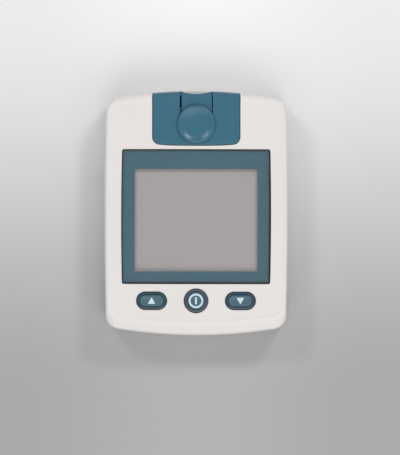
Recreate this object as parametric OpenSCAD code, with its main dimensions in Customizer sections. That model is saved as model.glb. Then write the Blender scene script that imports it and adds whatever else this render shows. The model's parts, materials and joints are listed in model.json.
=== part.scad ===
// A hand-held blood glucose meter with a large display, three keys and a strip ejector.
// It lies on its back: +Z comes out of the display, +Y points to the strip port,
// and the origin is the middle of the back face. All sizes are in millimetres.

/* [Body] */
// Width of the body at its widest, half way along
body_w = 64.6; // [62:0.1:72]
// Length of the body along the middle
body_l = 85.9; // [84:0.1:95]
// Height of the front panel above the back face
body_h = 17.2; // [16.8:0.1:20]
// Height of the seam between the two shells
seam_h = 9; // [8.8:0.1:9.6]
// Thickness of the side walls
wall = 1.8; // [1.5:0.1:2.2]
// Thickness of the rear shell's back wall
back_t = 1.6; // [1.4:0.1:1.9]
// Radius of the corners, seen from the front
corner_r = 5; // [3.5:0.5:6]
// Radius of the arc along the top and bottom ends
end_arc_r = 176; // [130:2:240]
// Radius of the nearly straight arc along each side
side_arc_r = 1400; // [900:50:3000]
// How far the front edge rounds in along the sides
edge_reach = 1.1; // [0.8:0.1:1.6]
// How far the front edge rounds in along the top end
top_reach = 1.8; // [1.4:0.1:2.4]
// Length of the sloping nose below the keys
nose_reach = 4.7; // [4:0.1:5.2]
// Radius of the arc along the nose's crest
nose_arc_r = 200; // [180:10:400]
// Height that the nose drops from its crest to its knee
nose_drop = 1.7; // [1.2:0.1:2.2]
// Height of the soft rim round the front panel
rim_h = 0.2; // [0.1:0.05:0.3]
// Width of the slope from the rim down to the panel
rim_w = 0.9; // [0.6:0.1:1.2]
// How far the back edge rounds in
back_reach = 3.2; // [2.5:0.1:3.6]
// Height of the back edge's rounding
back_round_h = 3.8; // [3:0.1:4.5]

/* [Display] */
// Width of the panel on each side of the window
lens_side = 6.2; // [5.6:0.1:7]
// Length of the panel between the window and the strip port's cover
lens_to_cover = 1.95; // [1.5:0.05:2.2]
// Distance from the window to the lower end
lens_low = 18.3; // [18:0.1:19.5]
// Thickness of the window
lens_t = 1; // [0.8:0.1:1.2]
// How far the window stands proud of the panel
lens_proud = 0.2; // [0.1:0.05:0.3]
// How far the window's sides bow out
lens_bow = 0.27; // [0.1:0.01:0.4]
// Radius of the window's corners
lens_corner_r = 0.8; // [0.5:0.1:1.5]
// Gap round the window
lens_gap = 0.2; // [0.1:0.05:0.3]
// Chamfer along the window's upper edge
lens_chamfer = 0.25; // [0.15:0.05:0.35]
// Width of the printed border on each side of the view
border_side = 4.5; // [4.4:0.1:6]
// Width of the printed border above the view
border_top = 6.8; // [6.5:0.05:9]
// Width of the printed border below the view
border_low = 4.2; // [4.1:0.05:6]
// Thickness of the printed border film
mask_t = 0.15; // [0.1:0.05:0.2]
// Thickness of the display glass
lcd_t = 1.8; // [1.5:0.1:2.2]
// How far the display glass runs past the view
lcd_border = 2.2; // [1.8:0.1:2.4]

/* [Keys] */
// Distance from the middle of the keys to the lower end
key_low = 12.2; // [11.9:0.05:12.4]
// Distance from the middle of each oval key to the body's side
key_side = 16.7; // [16.3:0.1:17.3]
// Length of an oval key's hole
oval_w = 10.8; // [10:0.2:11.6]
// Width of an oval key's hole
oval_l = 6.4; // [6:0.1:6.8]
// Diameter of the round key's hole
round_d = 8.6; // [8:0.1:9.2]
// Gap round each key
key_gap = 0.25; // [0.2:0.05:0.35]
// How far the keys stand proud of the panel
key_proud = 0.8; // [0.7:0.1:1.2]
// Width of the sloping shoulder round each key's face
key_shoulder = 1.05; // [0.8:0.05:1.2]
// Height of each key's face above its shoulder
key_step = 0.35; // [0.2:0.05:0.45]
// Depth of the hollow in each key's face
key_hollow = 0.15; // [0.05:0.05:0.25]
// Travel of each key
key_travel = 0.6; // [0.4:0.1:0.8]

/* [Strip port] */
// Width of the strip port's cover
cover_w = 30.7; // [28:0.1:33]
// Length of the cover, from its lower edge to the top end
cover_l = 18.7; // [18.6:0.05:19.15]
// How far the cover stands proud of the panel
cover_proud = 0.35; // [0.2:0.05:0.5]
// Thickness of the cover
cover_t = 1.3; // [1:0.1:1.5]
// Radius of the cover's lower corners
cover_corner_r = 2.2; // [1.5:0.1:3]
// Chamfer round the cover's upper edge
cover_chamfer = 0.5; // [0.3:0.05:0.7]
// Thickness of the cover's end wall
cover_end_t = 1.8; // [1.6:0.1:2]
// Width of the channel that the ejector's tongue runs in
channel_w = 11.6; // [10.5:0.1:12]
// Gap on each side of the tongue
tongue_gap = 0.45; // [0.3:0.05:0.6]
// Depth of the tongue's face below the cover's face
tongue_drop = 0.45; // [0.3:0.05:0.6]
// Depth of the hollow notch at the strip's mouth
notch_depth = 1.05; // [0.6:0.01:1.2]
// Diameter of the thumb pad
pad_d = 13.5; // [12.5:0.1:14]
// Distance from the middle of the thumb pad to the top end
pad_top = 11.65; // [11.25:0.05:11.85]
// Height of the thumb pad's rim above the cover
pad_h = 1.25; // [1:0.05:1.6]
// Depth of the hollow in the thumb pad
dish_depth = 0.8; // [0.5:0.05:1]
// Travel of the ejector
eject_travel = 3.5; // [2.5:0.1:3.6]
// Width of the test strip
strip_w = 7; // [6:0.5:8]

/* [Battery bay] */
// Width of the battery door
door_w = 45; // [44:0.5:47]
// Length of the battery door
door_l = 24; // [23:0.5:25]
// Distance from the door to the lower end
door_low = 12.95; // [12.45:0.5:14.95]
// Gap round the door
door_gap = 0.2; // [0.15:0.05:0.3]
// Diameter of a coin cell
cell_d = 20; // [19:0.5:20]
// Height of a coin cell
cell_h = 3.2; // [2.5:0.1:3.2]

/* [Board and jack] */
// Thickness of the circuit board
board_t = 1.2; // [1:0.1:1.6]
// Radius of the data jack's bore
jack_r = 1.8; // [1.3:0.05:1.9]
// Length of the data jack's bore
jack_l = 11.5; // [10:0.5:13]
// Distance from the data jack to the top end
jack_top = 30.95; // [26.95:0.5:34.95]
// Width of the microcontroller
chip_w = 10; // [7:0.5:12]
// Diameter of the buzzer
buzzer_d = 12; // [9:0.5:13]
// Height of the buzzer
buzzer_h = 2.95; // [2:0.05:3.2]

/* [Hidden] */

// Colours, as the photograph shows them.
shell_colour = [0.90, 0.88, 0.87];
teal = [0.24, 0.42, 0.50];
dark_teal = [0.22, 0.32, 0.38];
border_teal = [0.30, 0.42, 0.47];
metal = [0.78, 0.78, 0.76];
gold = [0.85, 0.68, 0.30];

// Number of steps along each stretch of an outline.
side_steps = 4;
end_steps = 5;
corner_steps = 7;
edge_steps = 5;
rim_steps = 3;
// Thickness of a cut or an overlap that only has to pass a surface.
eps = 0.01;
// A cut that passes right through the body.
far = 60;

half_w = body_w / 2;
half_l = body_l / 2;

// Places that follow from the distances above.
cover_y = half_l - cover_l;
pad_y = half_l - pad_top;
jack_y = half_l - jack_top;
key_y = -half_l + key_low;
key_pitch = half_w - key_side;
door_y = -half_l + door_low + door_l / 2;
lens_w = body_w - 2 * lens_side;
lens_y1 = cover_y - lens_to_cover;
lens_y0 = -half_l + lens_low;
lens_l = lens_y1 - lens_y0;
lens_y = (lens_y0 + lens_y1) / 2;
view_w = lens_w - 2 * border_side;
view_l = lens_l - border_top - border_low;
view_y = lens_y + (border_low - border_top) / 2;

crest_z = body_h + rim_h;

// The stack of pieces under the front panel, from the top down.
recess_z = body_h + lens_proud - lens_t - mask_t;
ledge_t = 1;
ceiling_z = recess_z - ledge_t;
gasket_t = 0.2;
lcd_top = ceiling_z - gasket_t;
lcd_z = lcd_top - lcd_t;
board_z = seam_h - 0.6;
board_top = board_z + board_t;
seat_gap = 0.05;

// The lip at the seam: the inner half of the wall runs down into the rear shell.
lip_h = 0.9;
lip_gap = 0.1;
lip_t = wall / 2;

// Screws.
screw_x = half_w - 6.5;
screw_top_y = half_l - 8.6;
screw_low_y = -half_l + 7.2;
screw_r = 1;
screw_head_r = 1.9;
screw_head_h = 1.2;
screw_head_z = 2.4;
boss_r = 2.6;
post_r = 3.1;
pilot_gap = 0.03;

// ---------------------------------------------------------------- outlines and lofts

// The two points where circles about a and b, of radii ra and rb, cross; side picks one.
function crossing(a, ra, b, rb, side) =
    let (d = norm(b - a), u = (b - a) / d, m = (ra * ra - rb * rb + d * d) / (2 * d))
    a + m * u + side * sqrt(ra * ra - m * m) * [-u[1], u[0]];

// Points on an arc about c from angle a0 to a1, without its last point.
function arc(c, r, a0, a1, steps) =
    [for (k = [0:steps - 1]) let (t = a0 + (a1 - a0) * k / steps) c + r * [cos(t), sin(t)]];

function heading(v) = atan2(v[1], v[0]);

// A closed outline of four shallow arcs joined by round corners, counter-clockwise from the
// middle of its lower end. The right half is worked out and then mirrored.
// The arc of the lower end may have its own radius, low_r.
function bowed_outline(hw, y0, y1, side_r, end_r, r, low_r = 0) =
    let (
        big = low_r > 0 ? low_r : end_r,
        low = [0, y0 + big],
        high = [0, y1 - end_r],
        side = [hw - side_r, 0],
        p0 = crossing(low, big - r, side, side_r - r, 1),
        p1 = crossing(high, end_r - r, side, side_r - r, -1),
        a0 = heading(p0 - low),
        a1 = heading(p0 - side),
        a2 = heading(p1 - side),
        a3 = heading(p1 - high),
        right = concat(
            arc(low, big, -90, a0, end_steps),
            arc(p0, r, a0, a1, corner_steps),
            arc(side, side_r, a1, a2, side_steps),
            arc(p1, r, a2, a3, corner_steps),
            arc(high, end_r, a3, 90, end_steps)
        ),
        n = len(right)
    )
    concat(right, [[0, y1]], [for (k = [n - 1:-1:1]) [-right[k][0], right[k][1]]]);

// The body's outline drawn in by side, top and bottom.
function body_outline(side, top, bottom, low_r = 0) =
    bowed_outline(
        half_w - side, -half_l + bottom, half_l - top, side_arc_r, end_arc_r,
        max(0.8, corner_r - max(side, (top + side) / 3)), low_r
    );

// A solid through a stack of rings, each [z, outline] with as many points as the others.
module loft(rings) {
    n = len(rings[0][1]);
    last = len(rings) - 1;
    points = [for (ring = rings) for (p = ring[1]) [p[0], p[1], ring[0]]];
    sides = [
        for (k = [0:last - 1]) for (i = [0:n - 1])
            let (a = k * n + i, b = k * n + (i + 1) % n)
            each [[a, b + n, b], [a, a + n, b + n]]
    ];
    floor_face = [[for (i = [0:n - 1]) i]];
    roof_face = [[for (i = [n - 1:-1:0]) last * n + i]];
    polyhedron(points = points, faces = concat(floor_face, sides, roof_face), convexity = 6);
}

// Inset of an edge that starts to round at z0 and has come in by reach at z1.
function rounded(z, z0, z1, reach) =
    let (u = min(1, max(0, (z - z0) / (z1 - z0)))) reach * (1 - sqrt(1 - u * u));

// Inset of the nose: a round knee, then a straight slope up to the crest.
knee_z = crest_z - nose_drop;
knee_h = 1.8;
knee_reach = 0.9;
function nose(z) =
    z < knee_z
        ? rounded(z, knee_z - knee_h, knee_z + 0.1, knee_reach)
        : let (k = rounded(knee_z, knee_z - knee_h, knee_z + 0.1, knee_reach))
          k + (nose_reach - k) * (z - knee_z) / (crest_z - knee_z);

edge_h = 1.6;
top_edge_h = 2.2;
draft = 0.12;
function front_inset(z) = [
    draft + rounded(z, crest_z - edge_h, crest_z, edge_reach),
    draft + rounded(z, crest_z - top_edge_h, crest_z, top_reach),
    draft + nose(z)
];

// Heights of the rings round the front edge, closer together towards the crest.
front_levels = [
    for (z = [knee_z - knee_h, knee_z - knee_h / 2, knee_z - knee_h / 6]) z,
    for (k = [0:edge_steps]) crest_z - nose_drop * pow(1 - k / edge_steps, 1.7)
];

// The lower end's arc grows flatter as the nose slopes up to its crest.
function low_arc(reach) = end_arc_r + (nose_arc_r - end_arc_r) * min(1, reach / nose_reach);
function drawn_in(z, more) =
    let (i = front_inset(z)) body_outline(i[0] + more, i[1] + more, i[2] + more, low_arc(i[2] - draft));

fillet_h = 2.6;
// Each shell is one loft: across the inside, over the seam's edge and round the outside.
lip_in = wall - lip_t;
front_rings = concat(
    [
        [ceiling_z, body_outline(wall + 0.9, wall + 1.6, wall + 4)],
        [ceiling_z - fillet_h, body_outline(wall, wall, wall + 0.2)],
        [seam_h - lip_h, body_outline(wall, wall, wall)],
        [seam_h - lip_h, body_outline(lip_in, lip_in, lip_in)],
        [seam_h, body_outline(lip_in, lip_in, lip_in)],
        [seam_h, body_outline(0, 0, 0)]
    ],
    [for (z = front_levels) [z, drawn_in(z, 0)]],
    [
        for (k = [1:rim_steps])
            [
                crest_z - rim_h * (1 - cos(180 * k / rim_steps)) / 2,
                drawn_in(crest_z, rim_w * k / rim_steps)
            ]
    ]
);

rebate = lip_in - lip_gap;
rear_rings = concat(
    [
        for (k = [0:edge_steps])
            let (a = 90 * k / edge_steps, i = draft + back_reach * (1 - sin(a)))
            [back_round_h * (1 - cos(a)), body_outline(i, i, i)]
    ],
    [
        [seam_h, body_outline(0, 0, 0)],
        [seam_h, body_outline(rebate, rebate, rebate)],
        [seam_h - lip_h - lip_gap, body_outline(rebate, rebate, rebate)],
        [seam_h - lip_h - lip_gap, body_outline(wall, wall, wall)],
        [back_round_h, body_outline(wall + 0.3, wall + 0.3, wall + 0.3)],
        [back_t, body_outline(wall + back_reach * 0.7, wall + back_reach * 0.7, wall + back_reach * 0.7)]
    ]
);

// A box from one corner to the opposite one.
module span(low, high) {
    translate(low) cube(high - low);
}

// A box that is symmetrical in x.
module bar(hw, y0, y1, z0, z1) {
    span([-hw, y0, z0], [hw, y1, z1]);
}

module place_screws() {
    for (x = [-screw_x, screw_x], y = [screw_low_y, screw_top_y]) translate([x, y, 0]) children();
}

// ---------------------------------------------------------------- keys

// Where each key stands: 0 is the up key, 1 the power key and 2 the down key.
function key_x(i) = (i - 1) * key_pitch;
function is_round(i) = i == 1;
// Half the straight length between an oval key's round ends.
function key_straight(i) = is_round(i) ? 0 : (oval_w - oval_l) / 2;
function key_r(i) = is_round(i) ? round_d / 2 : oval_l / 2;

// A solid turned from a profile of [radius, height] points and drawn out along x by straight.
module stadium_turn(straight, profile) {
    for (s = straight > 0 ? [-1, 1] : [0])
        translate([s * straight, 0, 0]) rotate_extrude($fn = 64) polygon(profile);
    if (straight > 0)
        for (flip = [0, 1]) mirror([0, flip, 0])
            translate([-straight, 0, 0]) rotate([90, 0, 90])
                linear_extrude(2 * straight) polygon(profile);
}

module stadium(straight, r, z0, z1) {
    stadium_turn(straight, [[0, z0], [r, z0], [r, z1], [0, z1]]);
}

key_chamfer = 0.35;
module key_hole(i) {
    translate([key_x(i), key_y, 0])
        stadium_turn(key_straight(i), [
            [0, ceiling_z - 1], [key_r(i), ceiling_z - 1], [key_r(i), body_h - key_chamfer],
            [key_r(i) + key_chamfer, body_h], [key_r(i) + key_chamfer, body_h + 1], [0, body_h + 1]
        ]);
}

flange_w = 0.7;
flange_t = 1;
flange_gap = 0.1;
key_edge = 0.2;
shoulder_rise = 0.4;
// A flange under the panel, a round edge, a sloping shoulder and a slightly hollow face.
module key_cap(i) {
    r = key_r(i) - key_gap;
    top = body_h + key_proud;
    flange_top = ceiling_z - flange_gap;
    shoulder_z = top - key_step;
    edge_z = shoulder_z - shoulder_rise;
    face_r = r - key_shoulder;
    land = face_r - key_edge;
    translate([key_x(i), key_y, 0])
        stadium_turn(key_straight(i), concat(
            [
                [0, flange_top - flange_t], [key_r(i) + flange_w, flange_top - flange_t],
                [key_r(i) + flange_w, flange_top], [r, flange_top]
            ],
            [for (a = [0:22.5:67.5]) [r - key_edge * (1 - cos(a)), edge_z - key_edge * (1 - sin(a))]],
            [[face_r, shoulder_z], [face_r, top - key_edge / 2], [face_r - key_edge / 2, top]],
            [
                for (k = [0:5]) let (u = 1 - k / 5)
                    [land * u, top - key_hollow * (1 + cos(180 * u)) / 2]
            ]
        ));
}

plunger_inset = 1.5;
contact_gap = 0.05;
module key_plunger(i) {
    r = key_r(i) - plunger_inset;
    translate([key_x(i), key_y, 0])
        stadium(
            key_straight(i), r, board_top + key_travel + contact_gap,
            ceiling_z - flange_gap - flange_t
        );
}

mat_t = 0.8;
web_w = 1.2;
web_t = 0.3;
web_gap = 0.05;
web_rise = 1;
web_collar = 0.4;
// A thin sloping skirt from the mat up to the plunger.
module key_web(i) {
    r = key_r(i) - plunger_inset + web_gap;
    z0 = board_top + mat_t;
    z1 = board_top + key_travel + web_rise + key_travel;
    translate([key_x(i), key_y, 0])
        difference() {
            stadium_turn(key_straight(i), [
                [0, z0], [r + web_w, z0], [r + web_t, z1], [r + web_t, z1 + web_collar],
                [0, z1 + web_collar]
            ]);
            stadium_turn(key_straight(i), [
                [0, z0 - eps], [r + web_w - web_t, z0 - eps], [r, z1], [r, z1 + 1], [0, z1 + 1]
            ]);
        }
}

mat_margin = 2.1;
module keypad_mat() {
    color("gainsboro") difference() {
        bar(
            key_pitch + key_straight(0) + key_r(0) - plunger_inset + mat_margin,
            key_y - key_r(1) - mat_margin / 4, key_y + key_r(1) + mat_margin / 4,
            board_top, board_top + mat_t
        );
        for (i = [0:2]) translate([key_x(i), key_y, 0])
            stadium(
                key_straight(i), key_r(i) - plunger_inset + web_gap + web_w - web_t,
                board_top - 1, board_top + mat_t + 1
            );
    }
}

module button_up() { color(dark_teal) key_cap(0); }
module button_power() { color(dark_teal) key_cap(1); }
module button_down() { color(dark_teal) key_cap(2); }
module key_plunger_up() { color("dimgray") key_plunger(0); }
module key_plunger_power() { color("dimgray") key_plunger(1); }
module key_plunger_down() { color("dimgray") key_plunger(2); }
module key_web_up() { color("gainsboro") key_web(0); }
module key_web_power() { color("gainsboro") key_web(1); }
module key_web_down() { color("gainsboro") key_web(2); }

// ---------------------------------------------------------------- display

// The window's outline, grown by more on every side.
function lens_outline(more) =
    let (
        hl = lens_l / 2 + more,
        bow_r = (pow(lens_l / 2, 2) + lens_bow * lens_bow) / (2 * lens_bow)
    )
    bowed_outline(lens_w / 2 + more, -hl, hl, bow_r, end_straight_r, lens_corner_r + more);
end_straight_r = 20000;

module lens_plate(more, z0, z1) {
    translate([0, lens_y, z0]) linear_extrude(z1 - z0) polygon(lens_outline(more));
}

module display_window() {
    top = body_h + lens_proud;
    color([0.75, 0.85, 0.88, 0.4]) translate([0, lens_y, 0]) loft([
        [recess_z + mask_t, lens_outline(0)],
        [top - lens_chamfer, lens_outline(0)],
        [top, lens_outline(-lens_chamfer)]
    ]);
}

module view_cut(more, z0, z1) {
    bar(view_w / 2 + more, view_y - view_l / 2 - more, view_y + view_l / 2 + more, z0, z1);
}

mask_margin = 0.1;
module window_mask() {
    color(border_teal) difference() {
        lens_plate(-mask_margin, recess_z, recess_z + mask_t);
        view_cut(0, recess_z - 1, recess_z + 1);
    }
}

opening_margin = 0.7;
gasket_w = 1.2;
module lcd_gasket() {
    color("black") difference() {
        view_cut(opening_margin + gasket_w, lcd_top, ceiling_z);
        view_cut(opening_margin, lcd_top - 1, ceiling_z + 1);
    }
}

polarizer_t = 0.25;
contact_ledge = 1.3;
// Two sheets of glass, the lower one longer so that the contact strips reach it, with a film on top.
module lcd_glass() {
    low = lcd_z + (lcd_t - polarizer_t) / 2;
    hw = view_w / 2 + lcd_border;
    y0 = view_y - view_l / 2 - lcd_border;
    y1 = view_y + view_l / 2 + lcd_border;
    color([0.66, 0.64, 0.63]) {
        bar(hw, y0 - contact_ledge, y1, lcd_z, low);
        bar(hw, y0, y1, low, lcd_top - polarizer_t);
        bar(hw - 0.3, y0 + 0.3, y1 - 0.3, lcd_top - polarizer_t, lcd_top);
    }
}

frame_t = 1.1;
frame_gap = 0.15;
zebra_w = 1.6;
zebra_y = view_y - view_l / 2 - lcd_border - contact_ledge + 0.2;
frame_floor_t = 0.9;
// A tray that carries the display glass on the board, with a slot for the contact strip.
module lcd_frame() {
    hw = view_w / 2 + lcd_border + frame_gap;
    y0 = view_y - view_l / 2 - lcd_border - contact_ledge - frame_gap;
    y1 = view_y + view_l / 2 + lcd_border + frame_gap;
    floor_z = lcd_z - frame_floor_t;
    color("white") difference() {
        bar(hw + frame_t, y0 - frame_t, y1 + frame_t, board_top, lcd_z + lcd_t / 2);
        bar(hw, y0, y1, lcd_z, lcd_z + far);
        bar(hw - frame_t, y0 + zebra_w + 2, y1 - frame_t, board_top - 1, floor_z);
        bar(hw - 0.6, zebra_y - 0.1, zebra_y + zebra_w + 0.1, board_top - 1, lcd_z + 1);
    }
}

module zebra_strips() {
    color("dimgray") bar(view_w / 2 + lcd_border - 1, zebra_y, zebra_y + zebra_w, board_top, lcd_z);
}

// ---------------------------------------------------------------- strip port and ejector

cover_z = body_h + cover_proud;
cover_gap = 0.15;
slide_h = 1.8;
pocket_z = cover_z - cover_t - slide_h;
tray_t = 1;
tray_wall = 1.2;
skirt_t = 1.1;
strip_h = 2;
strip_z = board_top + strip_h;
slot_h = 1.4;
slot_w = strip_w + 1;
cover_low_z = strip_z - slot_h / 2 - 0.9;
end_in_y = half_l - cover_end_t;
notch_r = (pow(channel_w / 2, 2) + notch_depth * notch_depth) / (2 * notch_depth);
run_gap = 0.1;

// The cover's outline from above: round lower corners, straight sides, running past the end.
module cover_plan(more) {
    r = cover_corner_r + more;
    hw = cover_w / 2 + more;
    y0 = cover_y - more;
    for (x = [-hw + r, hw - r]) translate([x, y0 + r]) circle(r, $fn = 48);
    translate([-hw, y0 + r]) square([2 * hw, half_l + 8 - y0 - r]);
    translate([-hw + r, y0]) square([2 * (hw - r), r + 1]);
}

// Height profile along the body, turned about the end arc's centre so that it follows the end.
module end_sweep(profile) {
    translate([0, half_l - end_arc_r, 0])
        rotate([0, 0, 60]) rotate_extrude(angle = 60, $fn = 180)
            polygon([for (p = profile) [p[0] + end_arc_r - half_l, p[1]]]);
}

end_round_steps = 6;
// Side view of the top end, from [y, z] low inside, over the round edge: top is the face's height.
function end_profile(y0, z0, top, back) =
    let (drop = top_edge_h + cover_proud, reach = top_reach + draft)
    concat(
        [[y0, z0], [half_l - back, z0]],
        [
            for (k = [0:end_round_steps]) let (a = 90 * k / end_round_steps)
                [half_l - back - reach * (1 - cos(a)), top - drop * (1 - sin(a))]
        ],
        [[y0, top]]
    );

module notch(more) {
    translate([0, half_l - notch_depth + notch_r, 0])
        cylinder(h = far, r = notch_r + more, $fn = 128, center = true);
}

channel_end = 4;
channel_end_y = cover_y + channel_end;
carriage_hw = 8;
module strip_port_cover() {
    ch = channel_w / 2;
    color(teal) difference() {
        intersection() {
            end_sweep(end_profile(cover_y - 5, cover_low_z, cover_z, 0));
            union() {
                translate([0, 0, -1]) linear_extrude(cover_z - cover_chamfer + 1) cover_plan(0);
                translate([0, 0, cover_z - cover_chamfer - eps])
                    linear_extrude(cover_chamfer / 2 + eps) cover_plan(-cover_chamfer * 0.3);
                linear_extrude(cover_z) cover_plan(-cover_chamfer);
            }
        }
        // Room under the cover for the carriage, behind the end wall.
        difference() {
            bar(cover_w / 2 - skirt_t, cover_y + skirt_t, end_in_y - 1, pocket_z - 10, cover_z - cover_t);
            for (s = [-1, 1]) span(
                [s * (carriage_hw + run_gap + skirt_t / 2) - skirt_t / 2, cover_y, pocket_z],
                [s * (carriage_hw + run_gap + skirt_t / 2) + skirt_t / 2, end_in_y, cover_z]
            );
        }
        bar(carriage_hw + run_gap, cover_y + skirt_t, end_in_y, pocket_z - 10, cover_z - cover_t);
        // Below the pocket's floor only the end wall goes on.
        bar(far, cover_y - 5, end_in_y, 0, pocket_z);
        // The channel for the tongue.
        bar(ch, channel_end_y, half_l + 5, cover_z - cover_t - 2 * run_gap, cover_z + 1);
        // The mouth for the strip, with a flare.
        bar(slot_w / 2, end_in_y - 5, half_l + 5, strip_z - slot_h / 2, strip_z + slot_h / 2);
        intersection() {
            notch(0);
            bar(ch, end_in_y, half_l + 5, 0, far);
        }
    }
}

spring_x = 3.3;
spring_d = 1.6;
spring_wire = 0.3;
window_hw = 0.95;
spring_seat = 1.35;
post_from_pad = 3.6;
post_y = pad_y + post_from_pad;
post_l = 1;
pusher_from_pad = 2.6;
pusher_y = pad_y - pusher_from_pad;
pusher_l = 1.2;
pusher_hw = 1.1;
carriage_z0 = pocket_z + run_gap;
carriage_z1 = cover_z - cover_t - run_gap;
carriage_y0 = cover_y + skirt_t + cover_gap;
window_y0 = carriage_y0 + spring_seat;
carriage_y1 = end_in_y - eject_travel - 0.35;
pad_rim = 0.9;

module ejector_slider() {
    hw = channel_w / 2 - tongue_gap;
    top = cover_z - tongue_drop;
    pad_z = cover_z + 0.12;
    pad_top = cover_z + pad_h;
    r = pad_d / 2;
    color(teal) {
        difference() {
            union() {
                bar(carriage_hw, carriage_y0, carriage_y1, carriage_z0, carriage_z1);
                intersection() {
                    end_sweep(end_profile(channel_end_y - 5, carriage_z1 - eps, top, 0));
                    bar(hw, channel_end_y + 0.35, half_l + 5, carriage_z1 - eps, cover_z);
                }
                bar(hw, channel_end_y + 0.35, pad_y + 4, carriage_z1 - eps, pad_z + 0.3);
                bar(pusher_hw, pusher_y, pusher_y + pusher_l, strip_z - 0.3, carriage_z0 + eps);
            }
            for (s = [-1, 1]) translate([s * spring_x, 0, 0])
                bar(window_hw, window_y0, post_y + post_l + 0.3, 0, carriage_z1);
            notch(0);
        }
        translate([0, pad_y, 0]) rotate_extrude($fn = 96) polygon(concat(
            [[0, pad_z], [r - 0.4, pad_z], [r, pad_z + 0.3]],
            [
                for (a = [0:15:90])
                    [r - pad_rim * (1 - cos(a)) , pad_top - (pad_h - 0.42) * (1 - sin(a))]
            ],
            [
                for (k = [1:8]) let (u = 1 - k / 8)
                    [(r - pad_rim) * u, pad_top - dish_depth * (1 - pow(u, 4))]
            ]
        ));
    }
}

spring_turns = 7;
spring_ring_steps = 8;
spring_sides = 5;
// A coil spring along +y from y0 to y1: rings of points carried round a helix.
module coil_spring(y0, y1) {
    n = spring_turns * spring_ring_steps;
    mean_r = (spring_d - spring_wire) / 2;
    run = y1 - y0 - spring_wire;
    points = [
        for (k = [0:n]) let (a = 360 * k / spring_ring_steps)
            for (j = [0:spring_sides - 1])
                let (b = 360 * j / spring_sides, q = mean_r + spring_wire / 2 * cos(b))
                [q * cos(a), y0 + spring_wire / 2 + run * k / n + spring_wire / 2 * sin(b), q * sin(a)]
    ];
    walls = [
        for (k = [0:n - 1]) for (j = [0:spring_sides - 1])
            let (p = k * spring_sides + j, q = k * spring_sides + (j + 1) % spring_sides)
            each [[p, q, q + spring_sides], [p, q + spring_sides, p + spring_sides]]
    ];
    ends = [
        [for (j = [spring_sides - 1:-1:0]) j],
        [for (j = [0:spring_sides - 1]) n * spring_sides + j]
    ];
    polyhedron(points = points, faces = concat(walls, ends), convexity = 10);
}

module ejector_springs() {
    color("silver") for (s = [-1, 1])
        translate([s * spring_x, 0, (carriage_z0 + carriage_z1) / 2])
            coil_spring(window_y0 + seat_gap, post_y - seat_gap);
}

contact_pitch = 1.2;
contact_w = 0.6;
connector_hw = strip_w / 2 + 1.9;
connector_y0 = pusher_y - 1.2;
connector_y1 = end_in_y - 0.9;
connector_top = pocket_z - tray_t - 0.1;

module strip_connector() {
    color([0.93, 0.93, 0.90]) difference() {
        bar(connector_hw, connector_y0, connector_y1, board_top, connector_top);
        bar(strip_w / 2 + 0.15, pusher_y - 0.3, half_l, strip_z - 0.45, strip_z + 0.45);
        bar(
            pusher_hw + 0.3, pusher_y - 0.3, pusher_y + pusher_l + eject_travel + 0.3,
            strip_z, connector_top + 1
        );
        for (x = [-2:2]) translate([x * contact_pitch, 0, 0])
            bar(contact_w / 2 + 0.1, connector_y0 - 1, connector_y1 - 2, board_top - 1, strip_z);
    }
}

// Five sprung fingers that rise into the slot and end in tails on the board.
module strip_contacts() {
    t = 0.2;
    y0 = connector_y0 - 0.9;
    y1 = connector_y1 - 2.6;
    z = board_top + 0.5;
    bump_z = strip_z - 0.1;
    color(gold) for (x = [-2:2]) translate([x * contact_pitch - contact_w / 2, 0, 0])
        rotate([90, 0, 90]) linear_extrude(contact_w) polygon([
            [y0, board_top], [y0 + 1.1, board_top], [y0 + 1.4, z], [y1 - 4, z], [y1 - 1.6, bump_z - t],
            [y1 - 1, bump_z - t], [y1, z + 0.2], [y1, z + 0.5], [y1 - 0.8, bump_z], [y1 - 1.8, bump_z],
            [y1 - 4.2, z + t], [y0 + 1.2, z + t], [y0 + 0.9, board_top + t], [y0, board_top + t]
        ]);
}

// ---------------------------------------------------------------- shells

module tray_block() {
    hw = cover_w / 2 + cover_gap + tray_wall;
    bar(hw, cover_y - cover_gap - tray_wall, end_in_y - cover_gap, pocket_z - tray_t, body_h - 0.4);
}

module front_shell() {
    color(shell_colour) difference() {
        union() {
            loft(front_rings);
            place_screws() translate([0, 0, board_top + seat_gap])
                cylinder(h = ceiling_z - board_top + 0.2, r = boss_r, $fn = 48);
            tray_block();
        }
        place_screws() translate([0, 0, board_top - 1])
            cylinder(h = ceiling_z - board_top + 0.6, r = screw_r + pilot_gap, $fn = 32);
        lens_plate(lens_gap, recess_z, body_h + 5);
        view_cut(opening_margin, ceiling_z - 5, body_h);
        for (i = [0:2]) key_hole(i);
        // The pocket that the cover sits in, open at the top end.
        translate([0, 0, pocket_z]) linear_extrude(far) cover_plan(cover_gap);
        bar(cover_w / 2 + cover_gap, end_in_y - cover_gap, half_l + 5, cover_low_z - cover_gap, far);
        // The slot for the ejector's pusher, with its spring posts left standing.
        bar(
            pusher_hw + 0.3, pusher_y - 0.3, pusher_y + pusher_l + eject_travel + 0.3,
            pocket_z - tray_t - 1, pocket_z + 1
        );
    }
    color(shell_colour) for (s = [-1, 1]) translate([s * spring_x, 0, 0])
        bar(window_hw - 0.2, post_y, post_y + post_l, pocket_z - eps, carriage_z1 - 0.1);
}

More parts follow.
